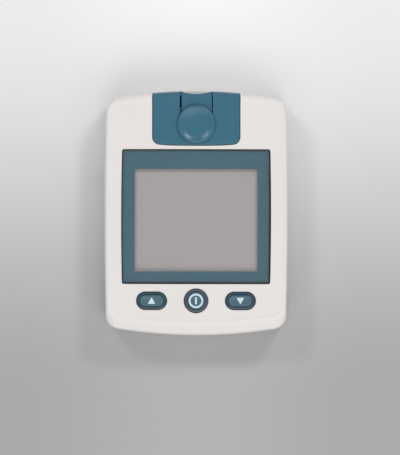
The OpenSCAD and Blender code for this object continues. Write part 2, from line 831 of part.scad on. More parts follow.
bay_wall = 1.1;
roof_t = 1;
cell_gap = 0.3;
contact_h = 0.8;
door_t = 1.4;
door_inset_z = 0.1;
cell_z = door_inset_z + door_t + cell_gap;
roof_z = cell_z + cell_h + contact_h;
cell_x = cell_d / 2 + 0.7;
bay_hw = cell_x + cell_d / 2 + cell_gap;
bay_y0 = door_y - cell_d / 2 - cell_gap;
bay_y1 = door_y + cell_d / 2 + cell_gap;
door_y0 = door_y - door_l / 2;
door_y1 = door_y + door_l / 2;
tab_x = door_w / 2 - 7;
tab_w = 5;
tab_l = 1.8;
tab_gap = 0.15;
tab_room = 1;
// The block round the bay, with the ledge that the door rests on.
block_hw = max(bay_hw, door_w / 2 + door_gap) + bay_wall;
block_y0 = door_y0 - tab_l - tab_room - bay_wall;
block_y1 = max(bay_y1, door_y1 + door_gap) + bay_wall;

module rear_shell() {
    color(shell_colour) difference() {
        union() {
            loft(rear_rings);
            place_screws() translate([0, 0, back_t / 2])
                cylinder(h = board_z - seat_gap - back_t / 2, r = post_r, $fn = 48);
            // The battery bay's walls and roof.
            bar(block_hw, block_y0, block_y1, back_t / 2, roof_z + roof_t);
        }
        place_screws() translate([0, 0, -1])
            cylinder(h = screw_head_z + screw_head_h + 1 + seat_gap, r = screw_head_r + 0.35, $fn = 48);
        place_screws() cylinder(h = far, r = screw_r + 0.25, $fn = 32);
        // The bay itself, with a rounded pocket for each cell, and the door's opening.
        bar(bay_hw, bay_y0, bay_y1, -1, roof_z);
        translate([0, door_y, -1]) linear_extrude(1 + back_t + eps) door_plan(door_gap);
        // Room for the door's tabs under the lower edge of the opening.
        for (s = [-1, 1]) translate([s * tab_x, 0, 0]) bar(
            tab_w / 2 + 0.3, door_y0 - tab_l - tab_room, bay_y0 + 1, back_t, back_t + 3.2
        );
        // The hole that the data jack's collar reaches into.
        translate([-half_w - 5, jack_y, jack_z]) rotate([0, 90, 0])
            cylinder(h = 5 + wall * 2 + 1, r = jack_collar_r + 0.15, $fn = 48);
        // A hollow for the fingertip that lifts the door.
        translate([0, door_y1 + 1.4, -grip_r + grip_depth]) rotate([0, 90, 0])
            cylinder(h = grip_w, r = grip_r, $fn = 96, center = true);
    }
}

grip_w = 12;
grip_r = 8;
grip_depth = 0.9;
door_corner_r = 1.6;

module door_plan(more) {
    r = door_corner_r + more;
    hw = door_w / 2 + more;
    hl = door_l / 2 + more;
    for (x = [-hw + r, hw - r], y = [-hl + r, hl - r]) translate([x, y]) circle(r, $fn = 32);
    square([2 * hw, 2 * (hl - r)], center = true);
    square([2 * (hw - r), 2 * hl], center = true);
}

latch_w = 9;
latch_l = 6;
slit = 0.6;
ridge_n = 4;
module battery_door() {
    z1 = door_inset_z + door_t;
    color(shell_colour) difference() {
        union() {
            translate([0, door_y, door_inset_z]) linear_extrude(door_t) door_plan(0);
            // Tabs that reach under the lower edge of the opening.
            for (s = [-1, 1]) translate([s * tab_x, 0, 0]) {
                bar(tab_w / 2, door_y0, door_y0 + 1.1, z1 - eps, back_t + tab_gap + 1);
                bar(tab_w / 2, door_y0 - tab_l, door_y0 + 1.1, back_t + tab_gap, back_t + tab_gap + 1);
            }
            // Grip ridges on the latch.
            for (k = [0:ridge_n - 1]) translate([0, door_y1 - 1.5 - k * 1.2, door_inset_z + 0.1])
                rotate([0, 90, 0]) cylinder(h = latch_w - 2, r = 0.18, $fn = 16, center = true);
        }
        // The slits that free the latch, and its thin root.
        for (s = [-1, 1]) span(
            [s * (latch_w + slit) / 2 - slit / 2, door_y1 - latch_l, -1],
            [s * (latch_w + slit) / 2 + slit / 2, door_y1 + 1, z1 + 1]
        );
        bar(latch_w / 2, door_y1 - latch_l, door_y1 - latch_l + 0.8, z1 - 0.5, z1 + 1);
    }
}

// A coin cell: a can with a rolled edge, and the smaller cap on its upper side.
module coin_cell(s) {
    r = cell_d / 2;
    cap_r = r - 1.2;
    step = 0.35;
    color(metal) translate([s * cell_x, door_y, cell_z]) rotate_extrude($fn = 96) polygon([
        [0, 0.06], [r - 2, 0.06], [r - 2.2, 0], [r - 0.4, 0], [r, 0.4], [r, cell_h - step - 0.3],
        [r - 0.4, cell_h - step], [cap_r + 0.2, cell_h - step], [cap_r, cell_h - step + 0.1],
        [cap_r - 0.2, cell_h], [0, cell_h]
    ]);
}

module coin_cell_left() { coin_cell(-1); }
module coin_cell_right() { coin_cell(1); }

finger_w = 1.8;
finger_x = 1.6;
finger_t = 0.2;
finger_root = 6;
finger_bend = 3;
finger_touch = 1.5;
finger_tip = 4.2;
foot_w = 6;
foot_l = 1.2;
// Sprung fingers under the bay's roof that bend down to each cell and turn up at the tip.
module cell_contacts() {
    t = finger_t;
    top = roof_z - seat_gap;
    low = cell_z + cell_h + seat_gap;
    color(metal) for (s = [-1, 1]) translate([s * cell_x, door_y, 0]) {
        for (d = [-finger_x, finger_x]) translate([d - finger_w / 2, 0, 0])
            rotate([90, 0, 90]) linear_extrude(finger_w) polygon([
                [-finger_root, top - t], [-finger_root, top], [-finger_bend, top],
                [finger_touch, low + t], [2 * finger_touch, low + t], [finger_tip, low + 2 * t],
                [finger_tip, low + t], [2 * finger_touch, low], [finger_touch - t / 2, low],
                [-finger_bend - t / 2, top - t]
            ]);
        span([-foot_w / 2, -finger_root - foot_l, top - t], [foot_w / 2, -finger_root, top]);
    }
}

// ---------------------------------------------------------------- board and its parts

board_inset = wall + 0.45;
module circuit_board() {
    color([0.10, 0.38, 0.22]) difference() {
        translate([0, 0, board_z]) linear_extrude(board_t)
            polygon(body_outline(board_inset, board_inset, board_inset));
        place_screws() cylinder(h = far, r = screw_r + 0.4, $fn = 32);
    }
}

chip_t = 1.2;
chip_x = 5;
leg_n = 5;
leg_pitch = 0.8;
leg_w = 0.3;
leg_l = 0.9;
leg_h = 0.7;
// A square chip under the board, with legs along its four sides.
module microcontroller() {
    color("dimgray") translate([chip_x, jack_y, board_z - seat_gap - leg_h / 2 - chip_t]) {
        translate([-chip_w / 2, -chip_w / 2, 0]) cube([chip_w, chip_w, chip_t]);
        for (a = [0:90:270]) rotate([0, 0, a]) for (k = [-leg_n:leg_n])
            translate([k * leg_pitch - leg_w / 2, chip_w / 2 - eps, chip_t - leg_h / 2])
                cube([leg_w, leg_l, leg_h]);
    }
}

part_gap = 0.05;
crystal = [7, 3, 1.2];
memory = [5, 4, 1.2];
chip_cap = [2, 1.2, 0.6];
cap_pitch = 4;
cap_row = 11;
// A box of the given size hung under the board, centred on [x, y].
module under_board(x, y, size) {
    translate([x - size[0] / 2, y - size[1] / 2, board_z - part_gap - size[2]]) cube(size);
}

// A crystal can, a memory chip and two rows of small parts.
module board_parts() {
    color("silver") under_board(chip_x - chip_w, jack_y + chip_w, crystal);
    color("dimgray") under_board(chip_x - chip_w, jack_y + chip_w + 2 * crystal[1], memory);
    color("tan") for (k = [-4:4]) under_board(k * cap_pitch, jack_y - cap_row, chip_cap);
    color("tan") for (k = [-2:2])
        under_board(chip_x + chip_w, jack_y + k * cap_pitch * 0.75, [chip_cap[1], chip_cap[0], chip_cap[2]]);
}

buzzer_wall = 1;
buzzer_hole_r = 1;
buzzer_x = 14;
module buzzer() {
    color("black") translate([buzzer_x, pad_y - 2, board_z - seat_gap - buzzer_h]) difference() {
        cylinder(h = buzzer_h, r = buzzer_d / 2, $fn = 64);
        translate([0, 0, -buzzer_wall]) cylinder(h = 1.6 * buzzer_wall, r = buzzer_hole_r, $fn = 32);
    }
}

jack_collar_r = 2.6;
jack_drop = 3.4;
jack_z = board_z - jack_drop;
jack_body = 6.1;
jack_back = 1;
// A jack under the board: a square body, a collar in the wall's hole and the plug's bore.
module data_jack() {
    x0 = -half_w + 0.5;
    body_x0 = -half_w + wall + back_reach * 0.7 + 0.2;
    color([0.15, 0.15, 0.16]) difference() {
        union() {
            span(
                [body_x0, jack_y - jack_body / 2, jack_z - jack_body / 2],
                [x0 + jack_l + jack_back, jack_y + jack_body / 2, board_z - seat_gap]
            );
            translate([x0, jack_y, jack_z]) rotate([0, 90, 0])
                cylinder(h = body_x0 - x0 + eps, r = jack_collar_r, $fn = 64);
        }
        translate([x0 - 1, jack_y, jack_z]) rotate([0, 90, 0])
            cylinder(h = jack_l + 1, r = jack_r, $fn = 48);
    }
}

thread_top_gap = 0.6;
// Four pan-head screws with a cross recess, driven in from the back.
module housing_screws() {
    top = ceiling_z - 0.5 - thread_top_gap;
    color("silver") place_screws() difference() {
        union() {
            translate([0, 0, screw_head_z]) cylinder(h = screw_head_h, r = screw_head_r, $fn = 48);
            translate([0, 0, screw_head_z + 0.1]) cylinder(h = top - screw_head_z, r = screw_r, $fn = 32);
        }
        for (a = [0, 90]) rotate([0, 0, a]) translate([-1.2, -0.25, screw_head_z - 1]) cube([2.4, 0.5, 1.6]);
    }
}

front_shell();
rear_shell();
battery_door();
display_window();
window_mask();
lcd_gasket();
lcd_glass();
lcd_frame();
zebra_strips();
circuit_board();
microcontroller();
board_parts();
buzzer();
strip_port_cover();
ejector_slider();
ejector_springs();
strip_connector();
strip_contacts();
button_up();
button_power();
button_down();
key_plunger_up();
key_plunger_power();
key_plunger_down();
key_web_up();
key_web_power();
key_web_down();
keypad_mat();
data_jack();
coin_cell_left();
coin_cell_right();
cell_contacts();
housing_screws();
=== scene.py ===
# %% [markdown]
# # A blood glucose meter, piece by piece
# This lesson dresses a finished mechanical model of a hand-held blood glucose meter for its portrait.
# The model gives every piece its place and size. Here the pieces that show get smoother skins, and
# every piece gets a material made of nodes. Sizes are typed in millimetres and turned into metres at
# the last moment, because a meter of this size is easier to think about in millimetres.

# %% Load the model
import json
import math

import bmesh
import bpy
import numpy as np
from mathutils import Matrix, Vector

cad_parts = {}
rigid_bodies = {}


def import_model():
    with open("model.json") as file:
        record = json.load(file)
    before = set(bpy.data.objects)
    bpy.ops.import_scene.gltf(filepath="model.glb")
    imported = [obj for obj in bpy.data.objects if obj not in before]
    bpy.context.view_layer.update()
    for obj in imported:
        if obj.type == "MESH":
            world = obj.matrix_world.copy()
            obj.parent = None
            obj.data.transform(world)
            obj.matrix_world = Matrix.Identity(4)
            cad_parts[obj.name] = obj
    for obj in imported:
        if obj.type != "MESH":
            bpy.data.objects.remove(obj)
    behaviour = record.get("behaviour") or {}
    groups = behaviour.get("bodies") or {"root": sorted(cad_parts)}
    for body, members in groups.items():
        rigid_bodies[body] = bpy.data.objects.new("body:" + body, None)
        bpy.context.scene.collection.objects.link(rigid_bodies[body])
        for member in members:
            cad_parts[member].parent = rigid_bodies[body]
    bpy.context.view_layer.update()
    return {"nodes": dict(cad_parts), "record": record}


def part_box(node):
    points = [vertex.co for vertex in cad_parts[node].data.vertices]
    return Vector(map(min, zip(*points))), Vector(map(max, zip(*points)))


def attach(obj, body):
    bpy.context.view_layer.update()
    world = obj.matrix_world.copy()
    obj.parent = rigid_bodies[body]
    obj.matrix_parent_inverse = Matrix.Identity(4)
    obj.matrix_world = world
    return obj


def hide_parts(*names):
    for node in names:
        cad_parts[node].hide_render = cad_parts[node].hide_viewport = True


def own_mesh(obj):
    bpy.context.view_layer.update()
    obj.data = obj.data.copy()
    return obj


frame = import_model()
print("pieces in the model:", len(frame["nodes"]))

# %% [markdown]
# ## The sizes that the skins share
# The skins follow the same rules as the solids under them: four shallow arcs with round corners, a
# front edge that rounds in, a nose that slopes down below the keys, and a soft rim round the panel.
# The main heights are read from the model, so that a skin always sits on its own piece.

# %% Sizes
MM = 0.001


def extent(node):
    """Lowest and highest corner of one of the model's pieces, in millimetres."""
    low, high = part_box(node)
    return np.array(low) / MM, np.array(high) / MM


shell_high = extent("front_shell")[1]
half_w, half_l = shell_high[0], shell_high[1]
rim_h = 0.2
crest_z = shell_high[2]
panel_z = crest_z - rim_h
seam_z = extent("rear_shell")[1][2]
wall = 1.8
print(f"body {2 * half_w:.1f} x {2 * half_l:.1f} mm, panel at {panel_z:.1f} mm, seam at {seam_z:.1f} mm")

# %% [markdown]
# ## Outlines
# Every outline here is a closed run of points, worked out as one array. The body's is made of four
# arcs of large radius joined by four round corners. Where two circles cross gives each corner's
# centre, and then the points are spread along the arcs by angle.


# %% Outlines
def crossing(a, ra, b, rb, side):
    """The two points ra from a and rb from b lie either side of the line a-b. side picks one."""
    a, b = np.array(a, float), np.array(b, float)
    d = np.linalg.norm(b - a)
    u = (b - a) / d
    m = (ra * ra - rb * rb + d * d) / (2 * d)
    return a + m * u + side * math.sqrt(ra * ra - m * m) * np.array([-u[1], u[0]])


def arc(centre, radius, start, end, steps):
    """Points centre + radius (cos t, sin t), t running from start to end in degrees, last point left out."""
    t = np.radians(np.linspace(start, end, steps, endpoint=False))
    return np.asarray(centre) + radius * np.stack([np.cos(t), np.sin(t)], axis=1)


def heading(v):
    """The direction of a vector in degrees."""
    return math.degrees(math.atan2(v[1], v[0]))


def bowed_outline(hw, y0, y1, side_r, end_r, r, low_r=None, ends=14, corners=16, sides=10):
    """Right half: arc of the lower end, corner, side arc, corner, arc of the upper end. Then its mirror."""
    low_r = low_r or end_r
    low, high, side = (0, y0 + low_r), (0, y1 - end_r), (hw - side_r, 0)
    p0 = crossing(low, low_r - r, side, side_r - r, 1)
    p1 = crossing(high, end_r - r, side, side_r - r, -1)
    a = heading(p0 - low), heading(p0 - side), heading(p1 - side), heading(p1 - high)
    right = np.concatenate([
        arc(low, low_r, -90, a[0], ends), arc(p0, r, a[0], a[1], corners),
        arc(side, side_r, a[1], a[2], sides), arc(p1, r, a[2], a[3], corners),
        arc(high, end_r, a[3], 90, ends), [[0, y1]],
    ])
    return np.concatenate([right, right[-2:0:-1] * [-1, 1]])


end_arc, nose_arc, side_arc = 176.0, 200.0, 1400.0
corner_r, least_corner = 5.0, 0.8


def body_outline(side, top, bottom, low_r=end_arc):
    """The body's outline drawn in by side, top and bottom. Its corners grow smaller with it."""
    corner = max(least_corner, corner_r - max(side, (top + side) / 3))
    return bowed_outline(half_w - side, -half_l + bottom, half_l - top, side_arc, end_arc, corner, low_r)


def all_round(inset):
    """The body's outline drawn in by the same amount everywhere."""
    return body_outline(inset, inset, inset)


def stadium_outline(r, straight, n=96):
    """A circle of radius r pulled apart by straight on each side: x = r cos t +- straight, y = r sin t."""
    t = (np.arange(n) + 0.5) * 2 * math.pi / n
    return np.stack([r * np.cos(t) + np.sign(np.cos(t)) * straight, r * np.sin(t)], axis=1)


print("points round the body:", len(all_round(0)))

# %% [markdown]
# ## From rings to a closed surface
# Nearly every moulded form here is a pile of rings. Ring k and ring k + 1 are joined by a band of
# four-sided faces, and the first and last rings are closed by a flat cap. The whole band is one
# index grid, so no loop runs over the points. Holes and pockets are cut afterwards with the exact
# Boolean modifier, as a mould maker would think of them: a block of the right form taken away.


# %% Mesh helpers
def mesh_object(name, points, faces):
    """Points in millimetres and faces of their numbers, made into an object of the scene."""
    mesh = bpy.data.meshes.new(name)
    mesh.from_pydata((np.asarray(points, float) * MM).tolist(), [], faces)
    mesh.update()
    obj = bpy.data.objects.new(name, mesh)
    bpy.context.scene.collection.objects.link(obj)
    return obj


def ring_mesh(name, points, n):
    """Points in rings of n. Face (k, i) joins points i and i + 1 of ring k to those of ring k + 1."""
    last = len(points) // n - 1
    k, i = np.meshgrid(np.arange(last), np.arange(n), indexing="ij")
    j = (i + 1) % n
    band = np.stack([k * n + i, k * n + j, (k + 1) * n + j, (k + 1) * n + i], axis=-1).reshape(-1, 4)
    caps = [list(range(n - 1, -1, -1)), list(range(last * n, (last + 1) * n))]
    return mesh_object(name, points, band.tolist() + caps)


def loft(name, rings, at=(0, 0, 0)):
    """rings is [(z, outline)], where z is one number, or one for each of the ring's points."""
    n = len(rings[0][1])
    points = np.concatenate([np.column_stack([xy, np.broadcast_to(z, n)]) for z, xy in rings])
    return ring_mesh(name, points + at, n)


def turned(name, profile, at=(0, 0, 0), straight=0.0, n=96):
    """profile is [(radius, z)] from the lower centre to the upper one. Each entry makes one ring."""
    rings = [(z, stadium_outline(max(r, 0.02), straight, n)) for r, z in profile]
    return loft(name, rings, at)


def block(name, low, high):
    """A box between two corners."""
    (x0, y0, z0), (x1, y1, z1) = low, high
    outline = np.array([[x0, y0], [x1, y0], [x1, y1], [x0, y1]])
    return loft(name, [(z0, outline), (z1, outline)])


def rod(name, start, length, r, axis="x", n=64):
    """A cylinder from start along the x or z axis."""
    t = np.arange(n) * 2 * math.pi / n
    ends = [np.column_stack([r * np.cos(t), r * np.sin(t), np.full(n, z)]) for z in (0, length)]
    order = {"x": [2, 0, 1], "z": [0, 1, 2]}[axis]
    return ring_mesh(name, np.concatenate(ends)[:, order] + start, n)


def reshape(obj, operation, *others):
    """Joins or cuts obj with each of the others by exact Booleans, and keeps only the result."""
    for other in others:
        step = obj.modifiers.new("cut", "BOOLEAN")
        step.operation, step.object, step.solver = operation, other, "EXACT"
    bpy.context.view_layer.update()
    done = bpy.data.meshes.new_from_object(obj.evaluated_get(bpy.context.evaluated_depsgraph_get()))
    obj.modifiers.clear()
    obj.data = done
    for other in others:
        bpy.data.objects.remove(other)
    return obj


def finish(obj, body, *nodes, slot=None, angle=32):
    """Smooth shading with crisp edges past the angle. Then the piece rides on its body and stands
    for its nodes."""
    mesh = obj.data
    mesh.polygons.foreach_set("use_smooth", np.ones(len(mesh.polygons), bool))
    mesh.set_sharp_from_angle(angle=math.radians(angle))
    even = obj.modifiers.new("even", "WEIGHTED_NORMAL")
    even.keep_sharp = True
    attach(obj, body)
    if nodes:
        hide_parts(*nodes)
    print(f"{obj.name}: {len(mesh.polygons)} faces")
    return obj


# %% [markdown]
# ## The front shell
# The real shell is one moulding: side walls, a rounded front edge, a nose that slopes down under the
# keys, and a panel that sinks a hair below its soft rim. One pile of rings makes all of that, inside
# and outside, because the rings can run up the inner wall, over the seam's lip and on round the
# outside. The edge's rounding is a quarter of an ellipse: how far it has come in at a height z is
# reach (1 - sqrt(1 - u^2)), with u running from 0 where it starts to 1 at the crest.

# %% Front shell: rings
nose_reach, nose_drop, knee_h, knee_reach = 4.7, 1.7, 1.8, 0.9
edge_reach, top_reach, edge_h, top_edge_h, draft = 1.1, 1.8, 1.6, 2.2, 0.12
knee_z = crest_z - nose_drop
rim_w = 0.9
recess_z = extent("window_mask")[0][2]
ceiling_z = recess_z - 1.0


def rounded(z, z0, z1, reach):
    """Quarter ellipse: reach (1 - sqrt(1 - u^2)), u = (z - z0) / (z1 - z0) kept between 0 and 1."""
    u = np.clip((z - z0) / (z1 - z0), 0, 1)
    return reach * (1 - np.sqrt(1 - u * u))


def nose(z, bend=0.55):
    """A round knee up to knee_z, then a slope: straight up to bend, and a parabola from there to the
    crest. Height v against distance t, both 0 to 1, is v = 2 t / (1 + bend) at first and
    v = 1 - (1 - t)^2 / (1 - bend^2) after it."""
    knee = rounded(min(z, knee_z), knee_z - knee_h, knee_z + 0.1, knee_reach)
    v = max(0.0, z - knee_z) / nose_drop
    t = v * (1 + bend) / 2 if v < 2 * bend / (1 + bend) else 1 - math.sqrt((1 - v) * (1 - bend**2))
    return knee + t * (nose_reach - knee)


def drawn_in(z, more=0.0):
    """The outline at height z, drawn in by more all round. The nose's arc grows flatter as it rises."""
    return body_outline(
        draft + rounded(z, crest_z - edge_h, crest_z, edge_reach) + more,
        draft + rounded(z, crest_z - top_edge_h, crest_z, top_reach) + more,
        draft + nose(z) + more,
        end_arc + (nose_arc - end_arc) * nose(z) / nose_reach,
    )


lip_in, lip_h, lip_gap = wall / 2, 0.9, 0.1
seam_groove = ((0.22, 0), (0.08, 0.08), (0.01, 0.2))  # depth, and how far from the seam
outer_levels = crest_z - (nose_drop + knee_h) * (1 - np.linspace(0, 1, 34)) ** 2
rings = [
    (ceiling_z, body_outline(wall + 0.9, wall + 1.6, wall + 4)),
    (ceiling_z - 2.6, body_outline(wall, wall, wall + 0.2)),
    (seam_z - lip_h, all_round(wall)),
    (seam_z - lip_h, all_round(lip_in)),
    (seam_z, all_round(lip_in)),
]
rings += [(seam_z + h, all_round(depth)) for depth, h in seam_groove]
rings += [(z, drawn_in(z)) for z in outer_levels]
rings += [
    (crest_z - rim_h * (1 - math.cos(math.pi * s)) / 2, drawn_in(crest_z, rim_w * s))
    for s in np.linspace(0, 1, 9)[1:]
]
front_skin = loft("front_skin", rings)
print("rings in the front shell:", len(rings))

# %% [markdown]
# ## Openings in the front shell
# The window lies in a shallow recess. Each key comes up through a hole whose edge is rounded by a
# small flare, which is what catches the light as a thin bright line. The strip port's cover sits in
# a pocket that is open at the top end. Under that pocket a tray carries the ejector.

# %% Window, key and pocket cutters
lens_low, lens_high = extent("display_window")
lens_y = (lens_low[1] + lens_high[1]) / 2
lens_hw = lens_high[0]
lens_hl = (lens_high[1] - lens_low[1]) / 2
lens_bow = 0.27
bow_r = (lens_hl**2 + lens_bow**2) / (2 * lens_bow)


def lens_outline(more):
    """The window's outline grown by more. Its sides bow out by lens_bow, its ends are all but straight."""
    hl, straight_r, corner = lens_hl + more, 20000, 0.5 + more
    return bowed_outline(lens_hw + more, -hl, hl, bow_r, straight_r, corner, ends=8, corners=10, sides=12)


def flare(start, reach, depth, steps=5):
    """A cutter's rounded edge as (outset, z), a quarter circle from depth below the panel up to it."""
    t = np.linspace(0, math.pi / 2, steps)
    return [(start + reach * (1 - math.cos(a)), panel_z - depth * (1 - math.sin(a))) for a in t]


lens_gap, lens_flare = 0.2, 0.18
lens_rings = [(recess_z, lens_outline(lens_gap))]
lens_rings += [(z, lens_outline(g)) for g, z in flare(lens_gap, lens_flare, lens_flare)]
lens_rings += [(panel_z + 2, lens_outline(lens_gap + lens_flare))]
lens_cut = loft("lens_cut", lens_rings, at=(0, lens_y, 0))

gasket_low, gasket_high = extent("lcd_gasket")
gasket_w = 1.2
view_hw = gasket_high[0] - gasket_w
view_y0, view_y1 = gasket_low[1] + gasket_w, gasket_high[1] - gasket_w
view_cut = block("view_cut", (-view_hw, view_y0, ceiling_z - 5), (view_hw, view_y1, panel_z))

keys = {}
flange, key_flare = 0.7, 0.35
for name in ("up", "power", "down"):
    low, high = extent("button_" + name)
    r = (high[1] - low[1]) / 2 - flange
    keys[name] = {"x": (low[0] + high[0]) / 2, "y": (low[1] + high[1]) / 2, "r": r,
                  "straight": (high[0] - low[0]) / 2 - flange - r}
key_cuts = []
for name, k in keys.items():
    profile = [(0, ceiling_z - 1), (k["r"], ceiling_z - 1)] + flare(k["r"], key_flare, key_flare)
    profile += [(k["r"] + key_flare, panel_z + 2), (0, panel_z + 2)]
    key_cuts.append(turned("hole_" + name, profile, (k["x"], k["y"], 0), k["straight"]))
print("keys:", {n: round(float(k["x"]), 2) for n, k in keys.items()})

# %% Cover outline and its pocket
cover_low, cover_high = extent("strip_port_cover")
cover_hw, cover_y, cover_z = cover_high[0], cover_low[1], cover_high[2]
cover_corner, cover_bow = 2.6, 0.35
cover_t, slide_h, cover_end_t, cover_gap = 1.3, 1.8, 1.8, 0.15
pocket_z = cover_z - cover_t - slide_h
end_in_y = half_l - cover_end_t
cover_low_z = cover_low[2]


def end_plan(hw, y0, r, top, tip=0.3, bow=0.0, corners=12, ends=30):
    """Lower corners of radius r, straight sides, and an upper end on the body's end arc drawn in by top.
    The lower edge bows out by y = y0 - bow (1 - (x / w)^4), w being where the corners start."""
    big = end_arc - top
    centre = np.array([0, half_l - end_arc])
    corner = np.array([hw - tip, centre[1] + math.sqrt((big - tip) ** 2 - (hw - tip) ** 2)])
    a = heading(corner - centre)
    lower = arc((hw - r, y0 + r), r, -90, 0, corners)
    upper = arc(corner, tip, 0, a, 5)
    end = arc(centre, big, a, 90, ends)
    x = np.linspace(0, hw - r, 12, endpoint=False)
    edge = np.column_stack([x, y0 - bow * (1 - (x / (hw - r)) ** 4)])
    right = np.concatenate([edge, lower, upper, end, [centre + [0, big]]])
    return np.concatenate([right, right[-2:0:-1] * [-1, 1]])


def cover_outline(side, low, top):
    """The cover's outline drawn in along its sides, its lower edge and its upper end."""
    corner = max(0.4, cover_corner - (side + low) / 2)
    return end_plan(cover_hw - side, cover_y + low, corner, top, bow=cover_bow)


def pocket_outline(more):
    """The pocket's outline: the gap and more round the cover, and 9 mm out past the body's end."""
    return cover_outline(-cover_gap - more, -cover_gap - more, -9)


pocket_flare = 0.15
pocket_rings = [(pocket_z, pocket_outline(0))]
pocket_rings += [(z, pocket_outline(g)) for g, z in flare(0, pocket_flare, pocket_flare)]
pocket_rings += [(panel_z + 3, pocket_outline(pocket_flare))]
pocket_cut = loft("pocket_cut", pocket_rings)
end_cut = block(
    "end_cut", (-cover_hw - cover_gap, end_in_y - cover_gap, cover_low_z - cover_gap),
    (cover_hw + cover_gap, half_l + 5, panel_z + 3),
)
print(f"cover {2 * cover_hw:.1f} mm wide, pocket floor at {pocket_z:.2f} mm")

# %% Front shell: tray, bosses and cuts
screw_x, screw_top_y, screw_low_y = half_w - 6.5, half_l - 8.6, -half_l + 7.2
screws = [(x, y) for x in (-screw_x, screw_x) for y in (screw_low_y, screw_top_y)]
board_low, board_high = extent("circuit_board")
board_z, board_top = board_low[2], board_high[2]
tray_wall, boss_r, pilot_r = 1.2, 2.6, 1.03
tray_hw = cover_hw + cover_gap + tray_wall
tray = block(
    "tray", (-tray_hw, cover_y - cover_gap - tray_wall, pocket_z - 1),
    (tray_hw, end_in_y - cover_gap, panel_z - 0.4),
)
boss_h = ceiling_z - board_top
bosses = [rod("boss", (x, y, board_top + 0.05), boss_h + 0.2, boss_r, "z", 48) for x, y in screws]
reshape(front_skin, "UNION", tray, *bosses)
pilots = [rod("pilot", (x, y, board_top - 1), boss_h + 0.6, pilot_r, "z", 32) for x, y in screws]
slider_low, slider_high = extent("ejector_slider")
pad_r, spring_x = 6.75, 3.3
pad_y = slider_low[1] + pad_r
pusher_slot = block("pusher_slot", (-1.4, pad_y - 2.9, pocket_z - 2), (1.4, pad_y + 2.4, pocket_z + 1))
reshape(front_skin, "DIFFERENCE", lens_cut, view_cut, *key_cuts, pocket_cut, end_cut, pusher_slot, *pilots)
post_hw = 0.75
spring_posts = [
    block("post", (x - post_hw, pad_y + 3.6, pocket_z - 0.05), (x + post_hw, pad_y + 4.6, pocket_z + 1.6))
    for x in (-spring_x, spring_x)
]
reshape(front_skin, "UNION", *spring_posts)
finish(front_skin, "housing", "front_shell", slot="shell_white")

# %% [markdown]
# ## The rear shell and the battery door
# The rear shell is a tray with a well-rounded back edge, so that it sits softly in the hand. Its
# battery bay opens through the back. The door has a latch that bends on a thin root between two
# slits, and two tabs that reach under the opening's far edge, so it tilts open about that edge.

# %% Rear shell
back_reach, back_round_h, back_t = 3.2, 3.8, 1.6
rear_rings = [
    (back_round_h * (1 - math.cos(a)), all_round(draft + back_reach * (1 - math.sin(a))))
    for a in np.radians(np.linspace(0, 90, 18))
]
rebate, seam_slit = lip_in - lip_gap, 0.01
rear_rings += [(seam_z - max(h, seam_slit), all_round(depth)) for depth, h in reversed(seam_groove)]
rear_rings += [
    (seam_z - seam_slit, all_round(rebate)),
    (seam_z - lip_h - lip_gap, all_round(rebate)),
    (seam_z - lip_h - lip_gap, all_round(wall)),
    (back_round_h, all_round(wall + 0.3)),
    (back_t, all_round(wall + back_reach * 0.7)),
]
rear_skin = loft("rear_skin", rear_rings)

door_low, door_high = extent("battery_door")
door_gap, tab_reach, door_corner, cell_gap, bay_wall = 0.2, 1.8, 1.8, 0.3, 1.1
door_hw, door_y0, door_y1 = door_high[0], door_low[1] + tab_reach, door_high[1]
cell_low, cell_high = extent("coin_cell_left")
bay_hw, bay_y0, bay_y1 = -cell_low[0] + cell_gap, cell_low[1] - cell_gap, cell_high[1] + cell_gap
roof_z = cell_high[2] + 0.8


def round_box(hw, hl, r, corners=10):
    """A rectangle with round corners, about the origin."""
    one = [arc((sx * (hw - r), sy * (hl - r)), r, a, a + 90, corners + 1)
           for sx, sy, a in ((1, -1, -90), (1, 1, 0), (-1, 1, 90), (-1, -1, 180))]
    return np.concatenate(one)


block_hw = max(bay_hw, door_hw + door_gap) + bay_wall
block_y1 = max(bay_y1, door_y1 + door_gap) + bay_wall
bay_block = block("bay_block", (-block_hw, door_y0 - 3.9, back_t / 2), (block_hw, block_y1, roof_z + 1))
post_r, post_h = 3.1, board_z - 0.05 - back_t / 2
screw_posts = [rod("post", (x, y, back_t / 2), post_h, post_r, "z", 48) for x, y in screws]
reshape(rear_skin, "UNION", bay_block, *screw_posts)
jack_low, jack_high = extent("data_jack")
jack_y, jack_z = (jack_low[1] + jack_high[1]) / 2, jack_low[2] + 3.05
open_hw, open_hl, chamfer = door_hw + door_gap, (door_y1 - door_y0) / 2 + door_gap, 0.2
door_plan = round_box(open_hw, open_hl, door_corner)
wide_plan = round_box(open_hw + chamfer, open_hl + chamfer, door_corner + chamfer)
door_rings = [(-1, wide_plan), (0, wide_plan), (chamfer, door_plan), (back_t + 0.01, door_plan)]
jack_hole_r, scoop_r, scoop_hw = 2.75, 8, 6
sink_r, sink_h, shank_hole_r = 2.25, 3.65, 1.25
sink = [(0, -1), (sink_r + 0.3, -1), (sink_r + 0.3, 0), (sink_r, 0.3), (sink_r, sink_h), (0, sink_h)]
tab_x, tab_room = door_hw - 7, 2.8
rear_cuts = [
    loft("opening", door_rings, (0, (door_y0 + door_y1) / 2, 0)),
    block("bay", (-bay_hw, bay_y0, -1), (bay_hw, bay_y1, roof_z)),
    rod("jack_hole", (-half_w - 5, jack_y, jack_z), 9.6, jack_hole_r),
    rod("grip", (-scoop_hw, door_y1 + 1.4, 0.9 - scoop_r), 2 * scoop_hw, scoop_r, "x", 96),
]
for x, y in screws:
    rear_cuts.append(turned("screw_hole", sink, (x, y, 0), n=64))
    rear_cuts.append(rod("shank_hole", (x, y, 3), 20, shank_hole_r, "z", 32))
